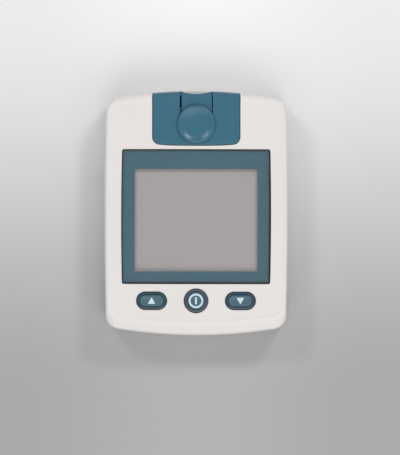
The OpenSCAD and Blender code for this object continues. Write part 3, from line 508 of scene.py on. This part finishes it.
for x in (-tab_x, tab_x):
    low, high = (x - tab_room, door_y0 - tab_room, back_t), (x + tab_room, bay_y0 + 1, back_t + 3.2)
    rear_cuts.append(block("tab_room", low, high))
reshape(rear_skin, "DIFFERENCE", *rear_cuts)
finish(rear_skin, "housing", "rear_shell", slot="shell_white")

# %% [markdown]
# ## Machined-looking edges on the plain pieces
# A small part such as a door or a coin cell already has the right shape in the model, but its edges are
# knife-sharp, and no moulded or turned edge is. A copy of its mesh is merged into whole faces, and a
# narrow bevel is run along every edge sharper than an angle. It is the cheapest way to make a piece
# catch the light as the real one does.


# %% Bevelled copies
def eased(node, name, body, width, angle=34, segments=2, slot=None):
    """A copy of a model's piece: equal points merged, flat triangles joined, and its sharp edges rounded."""
    obj = bpy.data.objects.new(name, frame["nodes"][node].data.copy())
    bpy.context.scene.collection.objects.link(obj)
    bm = bmesh.new()
    bm.from_mesh(obj.data)
    bmesh.ops.remove_doubles(bm, verts=bm.verts, dist=1e-7)
    bmesh.ops.dissolve_limit(bm, angle_limit=math.radians(1), verts=bm.verts, edges=bm.edges)
    bm.to_mesh(obj.data)
    bm.free()
    obj.data.materials.clear()
    bevel = obj.modifiers.new("ease", "BEVEL")
    bevel.width, bevel.segments = width * MM, segments
    bevel.limit_method, bevel.angle_limit = "ANGLE", math.radians(angle)
    return finish(obj, body, node, slot=slot)


door_skin = eased("battery_door", "door_skin", "door", 0.12, slot="shell_white")
jack_skin = eased("data_jack", "jack_skin", "housing", 0.12, slot="jack_black")
cell_skins = [eased("coin_cell_" + side, "cell_" + side, "housing", 0.2, segments=3, slot="cell_steel")
              for side in ("left", "right")]
contact_skin = eased("cell_contacts", "contacts_skin", "housing", 0.04, slot="spring_steel")

# %% [markdown]
# ## Screws
# Each pan head is turned: a flat middle, an edge that rounds away from the viewer, then the shank.
# The cross recess is cut by two bars that narrow with depth, as the driver's tip does.


# %% Screws
def screw(name, x, y, z0, z1, head_r=1.9, head_h=1.2, round_r=0.75, round_h=0.6, shank=1.0, turned_by=0.35):
    """A pan head at z0 facing down, with an edge of a quarter ellipse, and a shank up to z1. The cross
    is turned by an angle in radians."""
    profile = [(0, z0), (head_r - round_r, z0)]
    profile += [(head_r - round_r * (1 - math.sin(a)), z0 + round_h * (1 - math.cos(a)))
                for a in np.radians(np.arange(15, 91, 15))]
    profile += [(head_r, z0 + head_h), (shank, z0 + head_h), (shank, z1 - 0.4), (0.5, z1), (0, z1)]
    bars = []
    for a in (turned_by, turned_by + math.pi / 2):
        c, s = math.cos(a), math.sin(a)
        rings = []
        for z, hw, hl in ((z0 - 0.1, 1.15, 0.24), (z0 + 0.65, 0.6, 0.16)):
            flat = np.array([[-hw, -hl], [hw, -hl], [hw, hl], [-hw, hl]])
            rings.append((z, flat @ np.array([[c, s], [-s, c]])))
        bars.append(loft("bar", rings, (x, y, 0)))
    return reshape(turned(name, profile, (x, y, 0), n=64), "DIFFERENCE", *bars)


screw_z0, screw_z1 = (float(v[2]) for v in extent("housing_screws"))
screw_skins = [
    finish(screw(f"screw_{i}", x, y, screw_z0, screw_z1), "housing", "housing_screws", slot="screw_steel")
    for i, (x, y) in enumerate(screws)
]

# %% [markdown]
# ## The window and the keys
# The window is a clear plate with a rounded upper edge, a hair proud of the panel. Each key is one
# moulding: a flange that stops it from falling out, a shoulder that slopes up all round, and a
# slightly hollow face. A key's profile is a list of radius and height, and the rings that carry it
# are circles for the power key and circles pulled apart for the two oval ones.

# %% Window
edge_r, play, film_play, film_margin = 0.2, 0.06, 0.14, 0.7
plate_shift = (-0.07, 0.05)  # the plate lies a hair off the middle of its recess
plate = [(lens_low[2] + 0.03, lens_outline(-play))]
for a in np.linspace(0, math.pi / 2, 7):
    inset = play + edge_r * (1 - math.cos(a))
    plate.append((lens_high[2] - edge_r * (1 - math.sin(a)), lens_outline(-inset)))
film_rings = [(z, lens_outline(film_play)) for z in (recess_z, lens_low[2])]
film = loft("border_film", film_rings, at=(0, lens_y, 0))
film_hw, film_y0, film_y1 = view_hw - film_margin, view_y0 + film_margin, view_y1 - film_margin
reshape(film, "DIFFERENCE", block("view", (-film_hw, film_y0, 0), (film_hw, film_y1, 30)))
finish(film, "housing", "window_mask", slot="border_print")
window = loft("window", plate, at=(plate_shift[0], lens_y + plate_shift[1], 0))
finish(window, "housing", "display_window", slot="clear_window")

# %% Keys
key_gap, shoulder_w, step, rise, key_edge, hollow = 0.25, 1.05, 0.35, 0.4, 0.2, 0.15
flange_top, flange_t, flange_edge = ceiling_z - 0.1, 1.0, 0.1
# The groove round a key's face: distance out from the face, and depth below the shoulder.
face_groove = ((0.46, 0.10), (0.38, 0.15), (0.31, 0.36), (0.19, 0.46), (0.07, 0.38), (0.02, 0.16))
face_z = extent("button_power")[1][2]


def face_height(rho, land):
    """Height of a key's face at distance rho from its middle line. It sinks by hollow in the middle
    and is level at the land: z = face_z - hollow (1 + cos(pi rho / land)) / 2."""
    return face_z - hollow * (1 + np.cos(np.pi * np.clip(rho / land, 0, 1))) / 2


for name, k in keys.items():
    r = k["r"] - key_gap
    face_r = r - shoulder_w
    k["land"] = face_r - key_edge
    shoulder_z = face_z - step
    edge_z = shoulder_z - rise
    flange_r, flange_z = k["r"] + flange, flange_top - flange_t
    profile = [(0, flange_z), (flange_r - flange_edge, flange_z), (flange_r, flange_z + flange_edge),
               (flange_r, flange_top), (r, flange_top)]
    profile += [(r - key_edge * (1 - math.cos(a)), edge_z - key_edge * (1 - math.sin(a)))
                for a in np.radians(np.linspace(0, 68, 7))]
    profile += [(face_r + d, shoulder_z - h) for d, h in face_groove]
    profile += [(face_r - key_edge / 2 * (1 - math.cos(a)), face_z - key_edge / 2 * (1 - math.sin(a)))
                for a in np.radians(np.linspace(0, 90, 6))]
    profile += [(k["land"] * u, float(face_height(k["land"] * u, k["land"]))) for u in np.linspace(1, 0, 13)]
    cap = turned("cap_" + name, profile, (k["x"], k["y"], 0), k["straight"], n=128)
    k["cap"] = finish(cap, "key_" + name, "button_" + name, slot="key_teal", angle=50)

# %% [markdown]
# ## Signs on the keys
# The signs are pad-printed: a film of pale ink that follows the hollow face. Each is an outline that
# shrinks ring by ring towards its middle, lifted onto the face by the face's own height formula, so
# the ink lies on the plastic everywhere.


# %% Printed signs
def print_on_key(name, key, outline, ink=0.02, steps=6):
    """Rings of the outline that shrink to its middle, each ink above the face, and a rim that reaches
    down into the face."""
    middle = outline.mean(axis=0)
    k = keys[key]

    def height(xy):
        rho = np.hypot(np.clip(np.abs(xy[:, 0]) - k["straight"], 0, None), xy[:, 1])
        return face_height(rho, k["land"])

    rings = [(height(outline) - 0.05, outline), (height(outline) + ink, outline)]
    for u in np.linspace(1, 0.02, steps)[1:]:
        ring = middle + (outline - middle) * u
        rings.append((height(ring) + ink, ring))
    return finish(loft(name, rings, at=(k["x"], k["y"], 0)), "key_" + key)


def triangle(size, up, r=0.14, corners=5):
    """An arrow head with slightly round corners, pointing up (1) or down (-1)."""
    tips = np.array([[-size / 2, -size * 0.43], [size / 2, -size * 0.43], [0, size * 0.43]])
    inner = tips * (1 - 2.2 * r / size)
    starts = ((0, 150), (1, 270), (2, 30))
    out = np.concatenate([arc(inner[i], r, a, a + 120, corners + 1) for i, a in starts])
    return out if up > 0 else (out * [1, -1])[::-1]


def ring_band(name, key, r0, r1, ink=0.02, n=96):
    """A flat ring of ink: a section of five points carried round a circle and joined up again."""
    k = keys[key]
    t = np.arange(n) * 2 * math.pi / n
    cross = [(r0, -0.05), (r1, -0.05), (r1, ink), ((r0 + r1) / 2, ink), (r0, ink)]
    rows = [np.stack([r * np.cos(t), r * np.sin(t), face_height(r, k["land"]) + h + 0 * t], axis=1)
            for r, h in cross]
    points = np.concatenate(rows) + (k["x"], k["y"], 0)
    a, i = np.meshgrid(np.arange(len(cross)), np.arange(n), indexing="ij")
    b, j = (a + 1) % len(cross), (i + 1) % n
    faces = np.stack([a * n + i, a * n + j, b * n + j, b * n + i], axis=-1).reshape(-1, 4).tolist()
    return finish(mesh_object(name, points, faces), "key_" + key)


signs = [
    print_on_key("sign_up", "up", triangle(2.5, 1)),
    print_on_key("sign_down", "down", triangle(2.5, -1)),
    print_on_key("sign_bar", "power", round_box(0.33, 1.25, 0.2, 5)),
    ring_band("sign_ring", "power", 1.92, 2.54),
]

# %% [markdown]
# ## The strip port's cover and the ejector
# The cover's upper end follows the body's end and rolls over it with the same rounding, which is why
# its rings are drawn in by different amounts along the sides and at the end. A channel is cut
# through its middle for the ejector's tongue. The tongue, the thumb pad and the carriage below them
# are one moulding. The pad is a turned form: a rounded rim, then a dish whose depth falls off with
# the fourth power of the distance from its middle.

# %% Cover
fillet, cover_play = 0.5, 0.06
end_reach, end_drop = top_reach + draft, top_edge_h + cover_z - panel_z
levels = cover_z - (cover_z - pocket_z) * (1 - np.linspace(0, 1, 30)) ** 2
cover_rings = []
for z in levels:
    side = cover_play + rounded(z, cover_z - fillet, cover_z, fillet)
    cover_rings.append((z, cover_outline(side, side, rounded(z, cover_z - end_drop, cover_z, end_reach))))
cover_skin = loft("cover_skin", cover_rings)
wall_rings = [(cover_low_z, end_plan(cover_hw - 0.1, end_in_y, 0.4, 0.1)),
              (cover_low_z + 0.1, end_plan(cover_hw, end_in_y, 0.4, 0)),
              (pocket_z + 0.3, end_plan(cover_hw, end_in_y, 0.4, 0))]
reshape(cover_skin, "UNION", loft("end_wall", wall_rings))
channel_hw, tongue_gap, tongue_drop, notch_depth = 5.8, 0.45, 0.45, 1.05
channel_y, room_z, skirt = cover_y + 4, cover_z - cover_t, 1.1
room_hw, rib_hw, mouth_hw, mouth_hh = 8.1, 9.2, 4, 0.7
notch_r = (channel_hw**2 + notch_depth**2) / (2 * notch_depth)


def notch(name, hw):
    """The hollow at the strip's mouth: the part of a large circle between -hw and hw, open to the end."""
    x = np.linspace(-hw, hw, 25)
    y = half_l - notch_depth + notch_r - np.sqrt(notch_r**2 - x * x)
    outline = np.concatenate([np.column_stack([x, y]), [[hw, half_l + 5], [-hw, half_l + 5]]])
    return loft(name, [(pocket_z - 8, outline), (cover_z + 3, outline)])


strip_z = board_top + 2.0
cover_cuts = [
    block("room", (-room_hw, cover_y + skirt, pocket_z - 1), (room_hw, end_in_y, room_z)),
    block("room_left", (-cover_hw + skirt, cover_y + skirt, pocket_z - 1), (-rib_hw, end_in_y - 1, room_z)),
    block("room_right", (rib_hw, cover_y + skirt, pocket_z - 1), (cover_hw - skirt, end_in_y - 1, room_z)),
    block("channel", (-channel_hw, channel_y, room_z - 0.2), (channel_hw, half_l + 5, cover_z + 1)),
    block("mouth", (-mouth_hw, end_in_y - 5, strip_z - mouth_hh), (mouth_hw, half_l + 5, strip_z + mouth_hh)),
    notch("notch", channel_hw),
]
reshape(cover_skin, "DIFFERENCE", *cover_cuts)
finish(cover_skin, "housing", "strip_port_cover", slot="cover_teal")

# %% Ejector
tongue_hw, tongue_z, tongue_edge = channel_hw - tongue_gap, cover_z - tongue_drop, 0.15
lean = 0.16  # how far the tongue lies to the right of its channel's middle
carriage_hw, pusher_hw, window_hw = 8, 1.1, 0.95
carriage_z0, carriage_z1 = pocket_z + 0.1, room_z - 0.1
eject_travel = 3.5
carriage_y0, carriage_y1 = cover_y + skirt + 0.15, end_in_y - eject_travel - 0.35
tongue_rings = []
for z in tongue_z - (tongue_z - carriage_z1 + 0.01) * (1 - np.linspace(0, 1, 22)) ** 2:
    side = rounded(z, tongue_z - tongue_edge, tongue_z, tongue_edge)
    end = rounded(z, tongue_z - end_drop, tongue_z, end_reach)
    tongue_rings.append((z, end_plan(tongue_hw - side, channel_y + 0.35 + side, 0.3, end, corners=6)))
slider = loft("ejector", tongue_rings, at=(lean, 0, 0))
pad_z, pad_top = cover_z + 0.12, slider_high[2]
pad_rim, dish, under_r, under_h = 0.9, 0.8, 0.4, 0.3
profile = [(0, pad_z), (pad_r - under_r, pad_z)]
profile += [(pad_r - under_r * (1 - math.sin(a)), pad_z + under_h * (1 - math.cos(a)))
            for a in np.radians([20, 45, 70, 90])]
profile += [(pad_r - pad_rim * (1 - math.cos(a)), pad_top - (pad_top - pad_z - under_h) * (1 - math.sin(a)))
            for a in np.radians(np.linspace(6, 90, 14))]
profile += [((pad_r - pad_rim) * u, pad_top - dish * (1 - u**4)) for u in np.linspace(1, 0, 24)[1:]]
parts = [
    block("carriage", (-carriage_hw, carriage_y0, carriage_z0), (carriage_hw, carriage_y1, carriage_z1)),
    block("neck", (lean - tongue_hw + 0.01, channel_y + 0.36, carriage_z1 - 0.01),
          (lean + tongue_hw - 0.01, pad_y + 4, pad_z + 0.3)),
    turned("pad", profile, (0, pad_y, 0), n=128),
    block("pusher", (-pusher_hw, pad_y - 2.6, strip_z - 0.3), (pusher_hw, pad_y - 1.4, carriage_z0 + 0.01)),
]
reshape(slider, "UNION", *parts)
spring_windows = [
    block("spring_window", (x - window_hw, carriage_y0 + 1.35, 0), (x + window_hw, pad_y + 4.9, carriage_z1))
    for x in (-spring_x, spring_x)
]
reshape(slider, "DIFFERENCE", *spring_windows, notch("notch", 9))
finish(slider, "ejector", "ejector_slider", slot="cover_teal")

# A thin sheet of foam on the pocket's floor keeps light and dust out of the body.
seal_y0, seal_y1 = cover_y + skirt + 0.1, end_in_y - 0.05
seal = block("dust_seal", (-carriage_hw, seal_y0, pocket_z - 0.05), (carriage_hw, seal_y1, pocket_z + 0.06))
reshape(seal, "DIFFERENCE", block("slot", (-1.5, pad_y - 2.9, 0), (1.5, pad_y + 2.7, 30)))
finish(seal, "housing", slot="black_foam")


# %% Springs
def coil(name, x, y0, y1, z, r=0.65, wire=0.15, turns=8, steps=28, sides=8):
    """A tube on a helix. Angle a runs with y, and the tube's ring b lies in the plane of the radius."""
    a = np.linspace(0, 2 * math.pi * turns, turns * steps + 1)[:, None]
    b = (np.arange(sides) * 2 * math.pi / sides)[None, :]
    q = r + wire * np.cos(b)
    run = y0 + wire + (y1 - y0 - 2 * wire) * a / a.max()
    points = np.stack([x + q * np.cos(a), run + wire * np.sin(b), z + q * np.sin(a)], axis=-1)
    return ring_mesh(name, points.reshape(-1, 3), sides)


spring_low, spring_high = extent("ejector_springs")
spring_z, free_length = (carriage_z0 + carriage_z1) / 2, spring_high[1] - spring_low[1]
springs = []
for side, x in (("left", -spring_x), ("right", spring_x)):
    spring = coil(f"spring_{side}", x, spring_low[1], spring_high[1], spring_z)
    finish(spring, "housing", "ejector_springs", slot="spring_steel", angle=70)
    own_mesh(spring)
    springs.append(spring)
print(f"springs: {free_length:.2f} mm long, {free_length - eject_travel:.2f} mm when pressed")

# %% [markdown]
# ## Finishes
# Three effects turn up on nearly every moulded piece: a fine grain from the mould, a slow drift of
# the colour, and a gloss that varies where fingers have been. Each is a node group with its own
# inputs, built once. A material then places the groups it needs with its own values.


# %% Node groups
def new_group(name, inputs, outputs):
    """A node group with its sockets. Gives the group and the nodes that stand for its inputs and outputs."""
    group = bpy.data.node_groups.new(name, "ShaderNodeTree")
    for kind, rows in (("INPUT", inputs), ("OUTPUT", outputs)):
        for label, socket, value in rows:
            made = group.interface.new_socket(label, in_out=kind, socket_type=socket)
            if kind == "INPUT":
                made.default_value = value
    return group, group.nodes.new("NodeGroupInput"), group.nodes.new("NodeGroupOutput")


def add(tree, kind, operation=None, inputs=()):
    """A new shader node, with its operation and the values of its inputs by name or number."""
    node = tree.nodes.new("ShaderNode" + kind)
    if operation:
        node.operation = operation
    for label, value in dict(inputs).items():
        node.inputs[label].default_value = value
    return node


def wire(tree, *pairs):
    """Links the output in each pair to the input beside it."""
    for output, into in pairs:
        tree.links.new(output, into)


def noise_of(group, scale, detail, rough):
    """Noise that is fixed to the piece."""
    noise = add(group, "TexNoise", inputs={"Scale": scale, "Detail": detail, "Roughness": rough})
    wire(group, (add(group, "TexCoord").outputs["Object"], noise.inputs["Vector"]))
    return noise


FLOAT, COLOR = "NodeSocketFloat", "NodeSocketColor"

grain, gi, go = new_group("mould_grain", [("Scale", FLOAT, 2500.0)], [("Height", FLOAT, 0)])
noise = noise_of(grain, 2500, 3, 0.6)
wire(grain, (gi.outputs["Scale"], noise.inputs["Scale"]), (noise.outputs["Fac"], go.inputs["Height"]))

drift, gi, go = new_group(
    "colour_drift", [("Color", COLOR, (0.8, 0.8, 0.8, 1)), ("Amount", FLOAT, 0.04)], [("Color", COLOR, 0)]
)
noise = noise_of(drift, 45, 4, 0.55)
spread = add(drift, "MapRange", inputs={"From Min": 0.3, "From Max": 0.7})
darker, lighter = add(drift, "Math", "SUBTRACT", {0: 1.0}), add(drift, "Math", "ADD", {0: 1.0})
scaled = add(drift, "VectorMath", "SCALE")
wire(
    drift,
    (gi.outputs["Amount"], darker.inputs[1]), (gi.outputs["Amount"], lighter.inputs[1]),
    (darker.outputs[0], spread.inputs["To Min"]), (lighter.outputs[0], spread.inputs["To Max"]),
    (noise.outputs["Fac"], spread.inputs["Value"]), (gi.outputs["Color"], scaled.inputs[0]),
    (spread.outputs[0], scaled.inputs["Scale"]), (scaled.outputs[0], go.inputs["Color"]),
)

handled, gi, go = new_group(
    "handled_gloss", [("Roughness", FLOAT, 0.35), ("Amount", FLOAT, 0.06), ("Scale", FLOAT, 90.0)],
    [("Roughness", FLOAT, 0)],
)
noise = noise_of(handled, 90, 5, 0.65)
either_way = add(handled, "Math", "SUBTRACT", {1: 0.5})
varied = add(handled, "Math", "MULTIPLY_ADD")
wire(
    handled,
    (gi.outputs["Scale"], noise.inputs["Scale"]), (noise.outputs["Fac"], either_way.inputs[0]),
    (either_way.outputs[0], varied.inputs[0]), (gi.outputs["Amount"], varied.inputs[1]),
    (gi.outputs["Roughness"], varied.inputs[2]), (varied.outputs[0], go.inputs["Roughness"]),
)
print("node groups:", [g.name for g in bpy.data.node_groups])


# %% Materials
def linear(r, g, b):
    """sRGB 0-255 to the linear values that a shader takes."""
    c = np.array([r, g, b]) / 255
    out = np.where(c <= 0.04045, c / 12.92, ((c + 0.055) / 1.055) ** 2.4)
    return (*map(float, out), 1.0)


finishes = {}


def new_material(name, **values):
    """An empty material with a shader, whose inputs are named with _ for a space."""
    mat = bpy.data.materials.new(name)
    mat.use_nodes = True
    shader = mat.node_tree.nodes["Principled BSDF"]
    for label, value in values.items():
        shader.inputs[label.replace("_", " ")].default_value = value
    finishes[name] = mat
    return mat.node_tree, shader


def moulded(name, rgb, roughness, vary=0.1, drifts=0.03, scale=2500.0, depth=0.004, metallic=0.0):
    """A plastic, rubber or metal: colour with drift, handled gloss, and grain with its depth in mm."""
    tree, shader = new_material(name, Metallic=metallic, IOR=1.5)

    def place(group, **values):
        node = tree.nodes.new("ShaderNodeGroup")
        node.node_tree = group
        for label, value in values.items():
            node.inputs[label].default_value = value
        return node

    colour = place(drift, Color=linear(*rgb), Amount=drifts)
    gloss = place(handled, Roughness=roughness, Amount=vary)
    grains = place(grain, Scale=scale)
    bump = add(tree, "Bump", inputs={"Strength": 1.0, "Distance": depth * MM})
    wire(
        tree,
        (colour.outputs["Color"], shader.inputs["Base Color"]),
        (gloss.outputs["Roughness"], shader.inputs["Roughness"]),
        (grains.outputs["Height"], bump.inputs["Height"]), (bump.outputs["Normal"], shader.inputs["Normal"]),
    )


moulded("shell_white", (229, 225, 221), 0.42, vary=0.12, drifts=0.012, depth=0.006)
moulded("cover_teal", (51, 103, 124), 0.28, vary=0.10, drifts=0.05, depth=0.0012)
moulded("key_teal", (72, 102, 114), 0.30, vary=0.10, drifts=0.05, depth=0.001)
moulded("collar_grey", (86, 88, 102), 0.34, drifts=0.04, depth=0.002)
# On the two oval keys the collar's darker colour is painted shade on the shoulder, not a colour of their own.
moulded("collar_painted_shade", (50, 74, 86), 0.32, drifts=0.04, depth=0.002)
moulded("sign_ink", (205, 226, 234), 0.45, drifts=0.02, depth=0.001)
moulded("border_print", (45, 90, 104), 0.4, drifts=0.04, depth=0.001)
# Dark ink for the window plate's sides: partly real edge ink, partly painted shade for the gap round the
# plate.
moulded("edge_ink_and_gap_shade", (8, 16, 22), 0.3, drifts=0.02, depth=0.001)
moulded("display_glass", (177, 165, 164), 0.32, vary=0.05, drifts=0.01, depth=0.0005)
moulded("black_foam", (24, 25, 27), 0.9, scale=4000, depth=0.03)
moulded("tray_white", (226, 226, 220), 0.5)
moulded("zebra", (70, 70, 74), 0.6)
moulded("board_green", (28, 84, 50), 0.35, drifts=0.15)
moulded("chip_black", (26, 27, 29), 0.5, depth=0.01)
moulded("small_parts", (172, 166, 156), 0.35, metallic=0.6)
moulded("spring_steel", (196, 196, 198), 0.28, metallic=1.0, depth=0.001)
moulded("contact_gold", (222, 182, 98), 0.25, metallic=1.0, depth=0.001)
moulded("connector_cream", (222, 220, 205), 0.5)
moulded("key_rubber", (190, 190, 188), 0.65)
moulded("carbon", (30, 30, 33), 0.7)
moulded("jack_black", (30, 31, 33), 0.38)
moulded("cell_steel", (205, 204, 200), 0.25, metallic=1.0, depth=0.001)
moulded("screw_steel", (178, 178, 180), 0.3, metallic=1.0, depth=0.002)
print("plain finishes:", len(finishes))

# %% [markdown]
# ## Clear window, printed border and painted gap shade
# A clear plate over a display would throw a dark shadow in a path tracer, since a refracted ray
# seldom finds a lamp. For shadow rays and diffuse rays the plate is therefore simply see-through.
# The printed border's colour also carries painted shade: a dark line along its edge stands for the shadow in
# the gap round the plate. The distance to the edge is the lesser of half width - |x| and half length - |y|,
# and the shade fades out between two distances. Its middle is moved a little, so that the painted shade is
# heavier at the right and below, where the plate's shadow falls.

# %% Window and border
tree, shader = new_material(
    "clear_window", Base_Color=(0.96, 0.98, 0.98, 1), Roughness=0.02, IOR=1.49, Transmission_Weight=1.0
)
light_path = add(tree, "LightPath")
see_through = add(tree, "BsdfTransparent", inputs={"Color": (0.93, 0.95, 0.95, 1)})
either, unseen = add(tree, "MixShader"), add(tree, "Math", "MAXIMUM")
wire(
    tree,
    (light_path.outputs["Is Shadow Ray"], unseen.inputs[0]),
    (light_path.outputs["Is Diffuse Ray"], unseen.inputs[1]),
    (unseen.outputs[0], either.inputs["Fac"]), (shader.outputs[0], either.inputs[1]),
    (see_through.outputs[0], either.inputs[2]),
    (either.outputs[0], tree.nodes["Material Output"].inputs["Surface"]),
)

# Painted shade along the border's edge: where it starts and fades out in mm, and how far its middle is moved.
shade_from, shade_to, shade_shift = 0.28, 0.44, (0.15, -0.10)
tree = finishes["border_print"].node_tree
base_color = tree.nodes["Principled BSDF"].inputs["Base Color"]
colour = base_color.links[0].from_socket
where = add(tree, "TexCoord")
middle = (shade_shift[0] * MM, (-lens_y + shade_shift[1]) * MM, 0)
centred = add(tree, "Mapping", inputs={"Location": middle})
size_of = add(tree, "VectorMath", "ABSOLUTE")
inward = add(tree, "VectorMath", "SUBTRACT", {0: (lens_hw * MM, lens_hl * MM, 0)})
split, nearest = add(tree, "SeparateXYZ"), add(tree, "Math", "MINIMUM")
line = add(tree, "MapRange", inputs={"From Min": shade_from * MM, "From Max": shade_to * MM})
mixed = add(tree, "Mix")
mixed.data_type = "RGBA"
# The colour of the painted gap shade along the border's edge.
mixed.inputs["A"].default_value = linear(8, 16, 22)
wire(
    tree,
    (where.outputs["Object"], centred.inputs["Vector"]), (centred.outputs[0], size_of.inputs[0]),
    (size_of.outputs[0], inward.inputs[1]), (inward.outputs[0], split.inputs[0]),
    (split.outputs["X"], nearest.inputs[0]), (split.outputs["Y"], nearest.inputs[1]),
    (nearest.outputs[0], line.inputs["Value"]), (line.outputs[0], mixed.inputs["Factor"]),
    (colour, mixed.inputs["B"]), (mixed.outputs["Result"], base_color),
)
print("border line from", shade_from, "to", shade_to, "mm")


# %% Dressing
def dress(obj, finish_name):
    """Gives a piece one finish and takes away any other."""
    obj.data.materials.clear()
    obj.data.materials.append(finishes[finish_name])


slot_of = {row["node"]: row["material_slot"] for row in frame["record"]["subparts"]}
for node, obj in frame["nodes"].items():
    dress(obj, slot_of[node])
dressed = {
    "shell_white": [front_skin, rear_skin, door_skin], "screw_steel": screw_skins,
    "jack_black": [jack_skin], "spring_steel": [contact_skin, *springs], "cell_steel": cell_skins,
    "clear_window": [window], "border_print": [film], "black_foam": [seal],
    "cover_teal": [cover_skin, slider], "key_teal": [k["cap"] for k in keys.values()], "sign_ink": signs,
}
for finish_name, pieces in dressed.items():
    for obj in pieces:
        dress(obj, finish_name)

# Outside its face's groove the power key has a grey collar of its own colour, while on the two oval keys the
# darker collar there is painted shade. The window's plate is inked round its sides, partly real ink and
# partly painted shade for the gap round it.
collar_from, side_slope = 0.62, 0.985
for name, k in keys.items():
    faces = k["cap"].data.polygons
    at = np.array([f.center for f in faces]) / MM - (k["x"], k["y"], panel_z - 1)
    out = np.hypot(np.clip(np.abs(at[:, 0]) - k["straight"], 0, None), at[:, 1])
    collar = (out > k["land"] + collar_from) & (at[:, 2] > 0)
    k["cap"].data.materials.append(finishes["collar_grey" if name == "power" else "collar_painted_shade"])
    faces.foreach_set("material_index", collar.astype(np.int32))
# The plate's sides get the dark ink, which also paints the shade of the gap round the plate.
window.data.materials.append(finishes["edge_ink_and_gap_shade"])
sides = np.array([abs(face.normal.z) < side_slope for face in window.data.polygons])
window.data.polygons.foreach_set("material_index", sides.astype(np.int32))
print("pieces dressed:", sum(map(len, dressed.values())), "inked faces on the window:", int(sides.sum()))

# %% [markdown]
# ## Floor, light and camera
# The meter lies on a pale paper whose colour carries painted light: it grades from darker in front to lighter
# behind, and a painted pool of light makes it a little lighter in the middle.
# A long lens looks straight down at its face. One wide soft light in front does most of the work, a
# small one puts the bright spots on the thumb pad, and two behind draw the edges.


# %% Floor
def smooth_range(tree, from_min, from_max, to_min, to_max):
    """A value carried from one range to another, levelling out at both ends."""
    values = {"From Min": from_min, "From Max": from_max, "To Min": to_min, "To Max": to_max}
    made = add(tree, "MapRange", inputs=values)
    made.interpolation_type = "SMOOTHSTEP"
    return made


moulded("paper", (222, 222, 223), 0.75, drifts=0.006, depth=0.01)
tree = finishes["paper"].node_tree
where, apart = add(tree, "TexCoord"), add(tree, "SeparateXYZ")
# Painted light on the paper: darker in front, lighter behind, and brighter in the middle like a pool of
# light.
dark, light, glow_middle, glow_side = 0.40, 0.86, 1.10, 0.97
painted_falloff = smooth_range(tree, -0.065, 0.08, dark, light)
off_middle, glow = add(tree, "Math", "ABSOLUTE"), smooth_range(tree, 0.0, 0.065, glow_middle, glow_side)
both, joined = add(tree, "Math", "MULTIPLY"), add(tree, "CombineColor")
wire(
    tree,
    (where.outputs["Object"], apart.inputs[0]), (apart.outputs["Y"], painted_falloff.inputs["Value"]),
    (apart.outputs["X"], off_middle.inputs[0]), (off_middle.outputs[0], glow.inputs["Value"]),
    (painted_falloff.outputs[0], both.inputs[0]), (glow.outputs[0], both.inputs[1]),
    *[(both.outputs[0], channel) for channel in joined.inputs],
    (joined.outputs[0], tree.nodes["Principled BSDF"].inputs["Base Color"]),
)
floor = block("floor", (-700, -700, -2), (700, 700, 0))
floor.data.materials.append(finishes["paper"])
print("paper from", dark, "in front to", light, "behind")


# %% Camera and lights
camera_data = bpy.data.cameras.new("camera")
camera = bpy.data.objects.new("camera", camera_data)
bpy.context.scene.collection.objects.link(camera)
bpy.context.scene.camera = camera
sensor, distance, view_width = 36, 3.0, 0.1405
camera_data.sensor_fit = "HORIZONTAL"
camera_data.sensor_width = sensor
camera_data.lens = sensor * distance / view_width
camera_data.clip_end = 10
# The small shift and turn are the photographer's: the meter lies a little off the middle.
camera.location = (0.00137, -0.00499, panel_z * MM + distance)
camera.rotation_euler = (0, 0, math.radians(0.1))


def softbox(name, place, width, height, power):
    """A rectangular light at place that faces the middle of the scene. Sizes in metres, power in watts."""
    data = bpy.data.lights.new(name, "AREA")
    data.shape, data.size, data.size_y, data.energy = "RECTANGLE", width, height, power
    lamp = bpy.data.objects.new(name, data)
    bpy.context.scene.collection.objects.link(lamp)
    lamp.location = place
    lamp.rotation_euler = (-Vector(place)).to_track_quat("-Z", "Y").to_euler()


softbox("front", (0.14, -0.84, 0.84), 1.90, 1.00, 7.35)
softbox("spark", (0.13, -0.32, 1.05), 0.08, 0.08, 0.35)
softbox("top_right", (0.40, 0.60, 0.78), 0.20, 0.20, 2.2)
softbox("top_left", (-0.46, 0.55, 0.82), 0.20, 0.20, 1.7)
world = bpy.data.worlds.new("world")
world.use_nodes = True
sky = world.node_tree.nodes["Background"]
sky.inputs["Color"].default_value, sky.inputs["Strength"].default_value = (0.97, 0.97, 1.0, 1), 0.50
bpy.context.scene.world = world
bpy.context.scene.view_settings.view_transform = "Standard"
print(f"lens {camera_data.lens:.0f} mm, lights:", [lamp.name for lamp in bpy.data.lights])
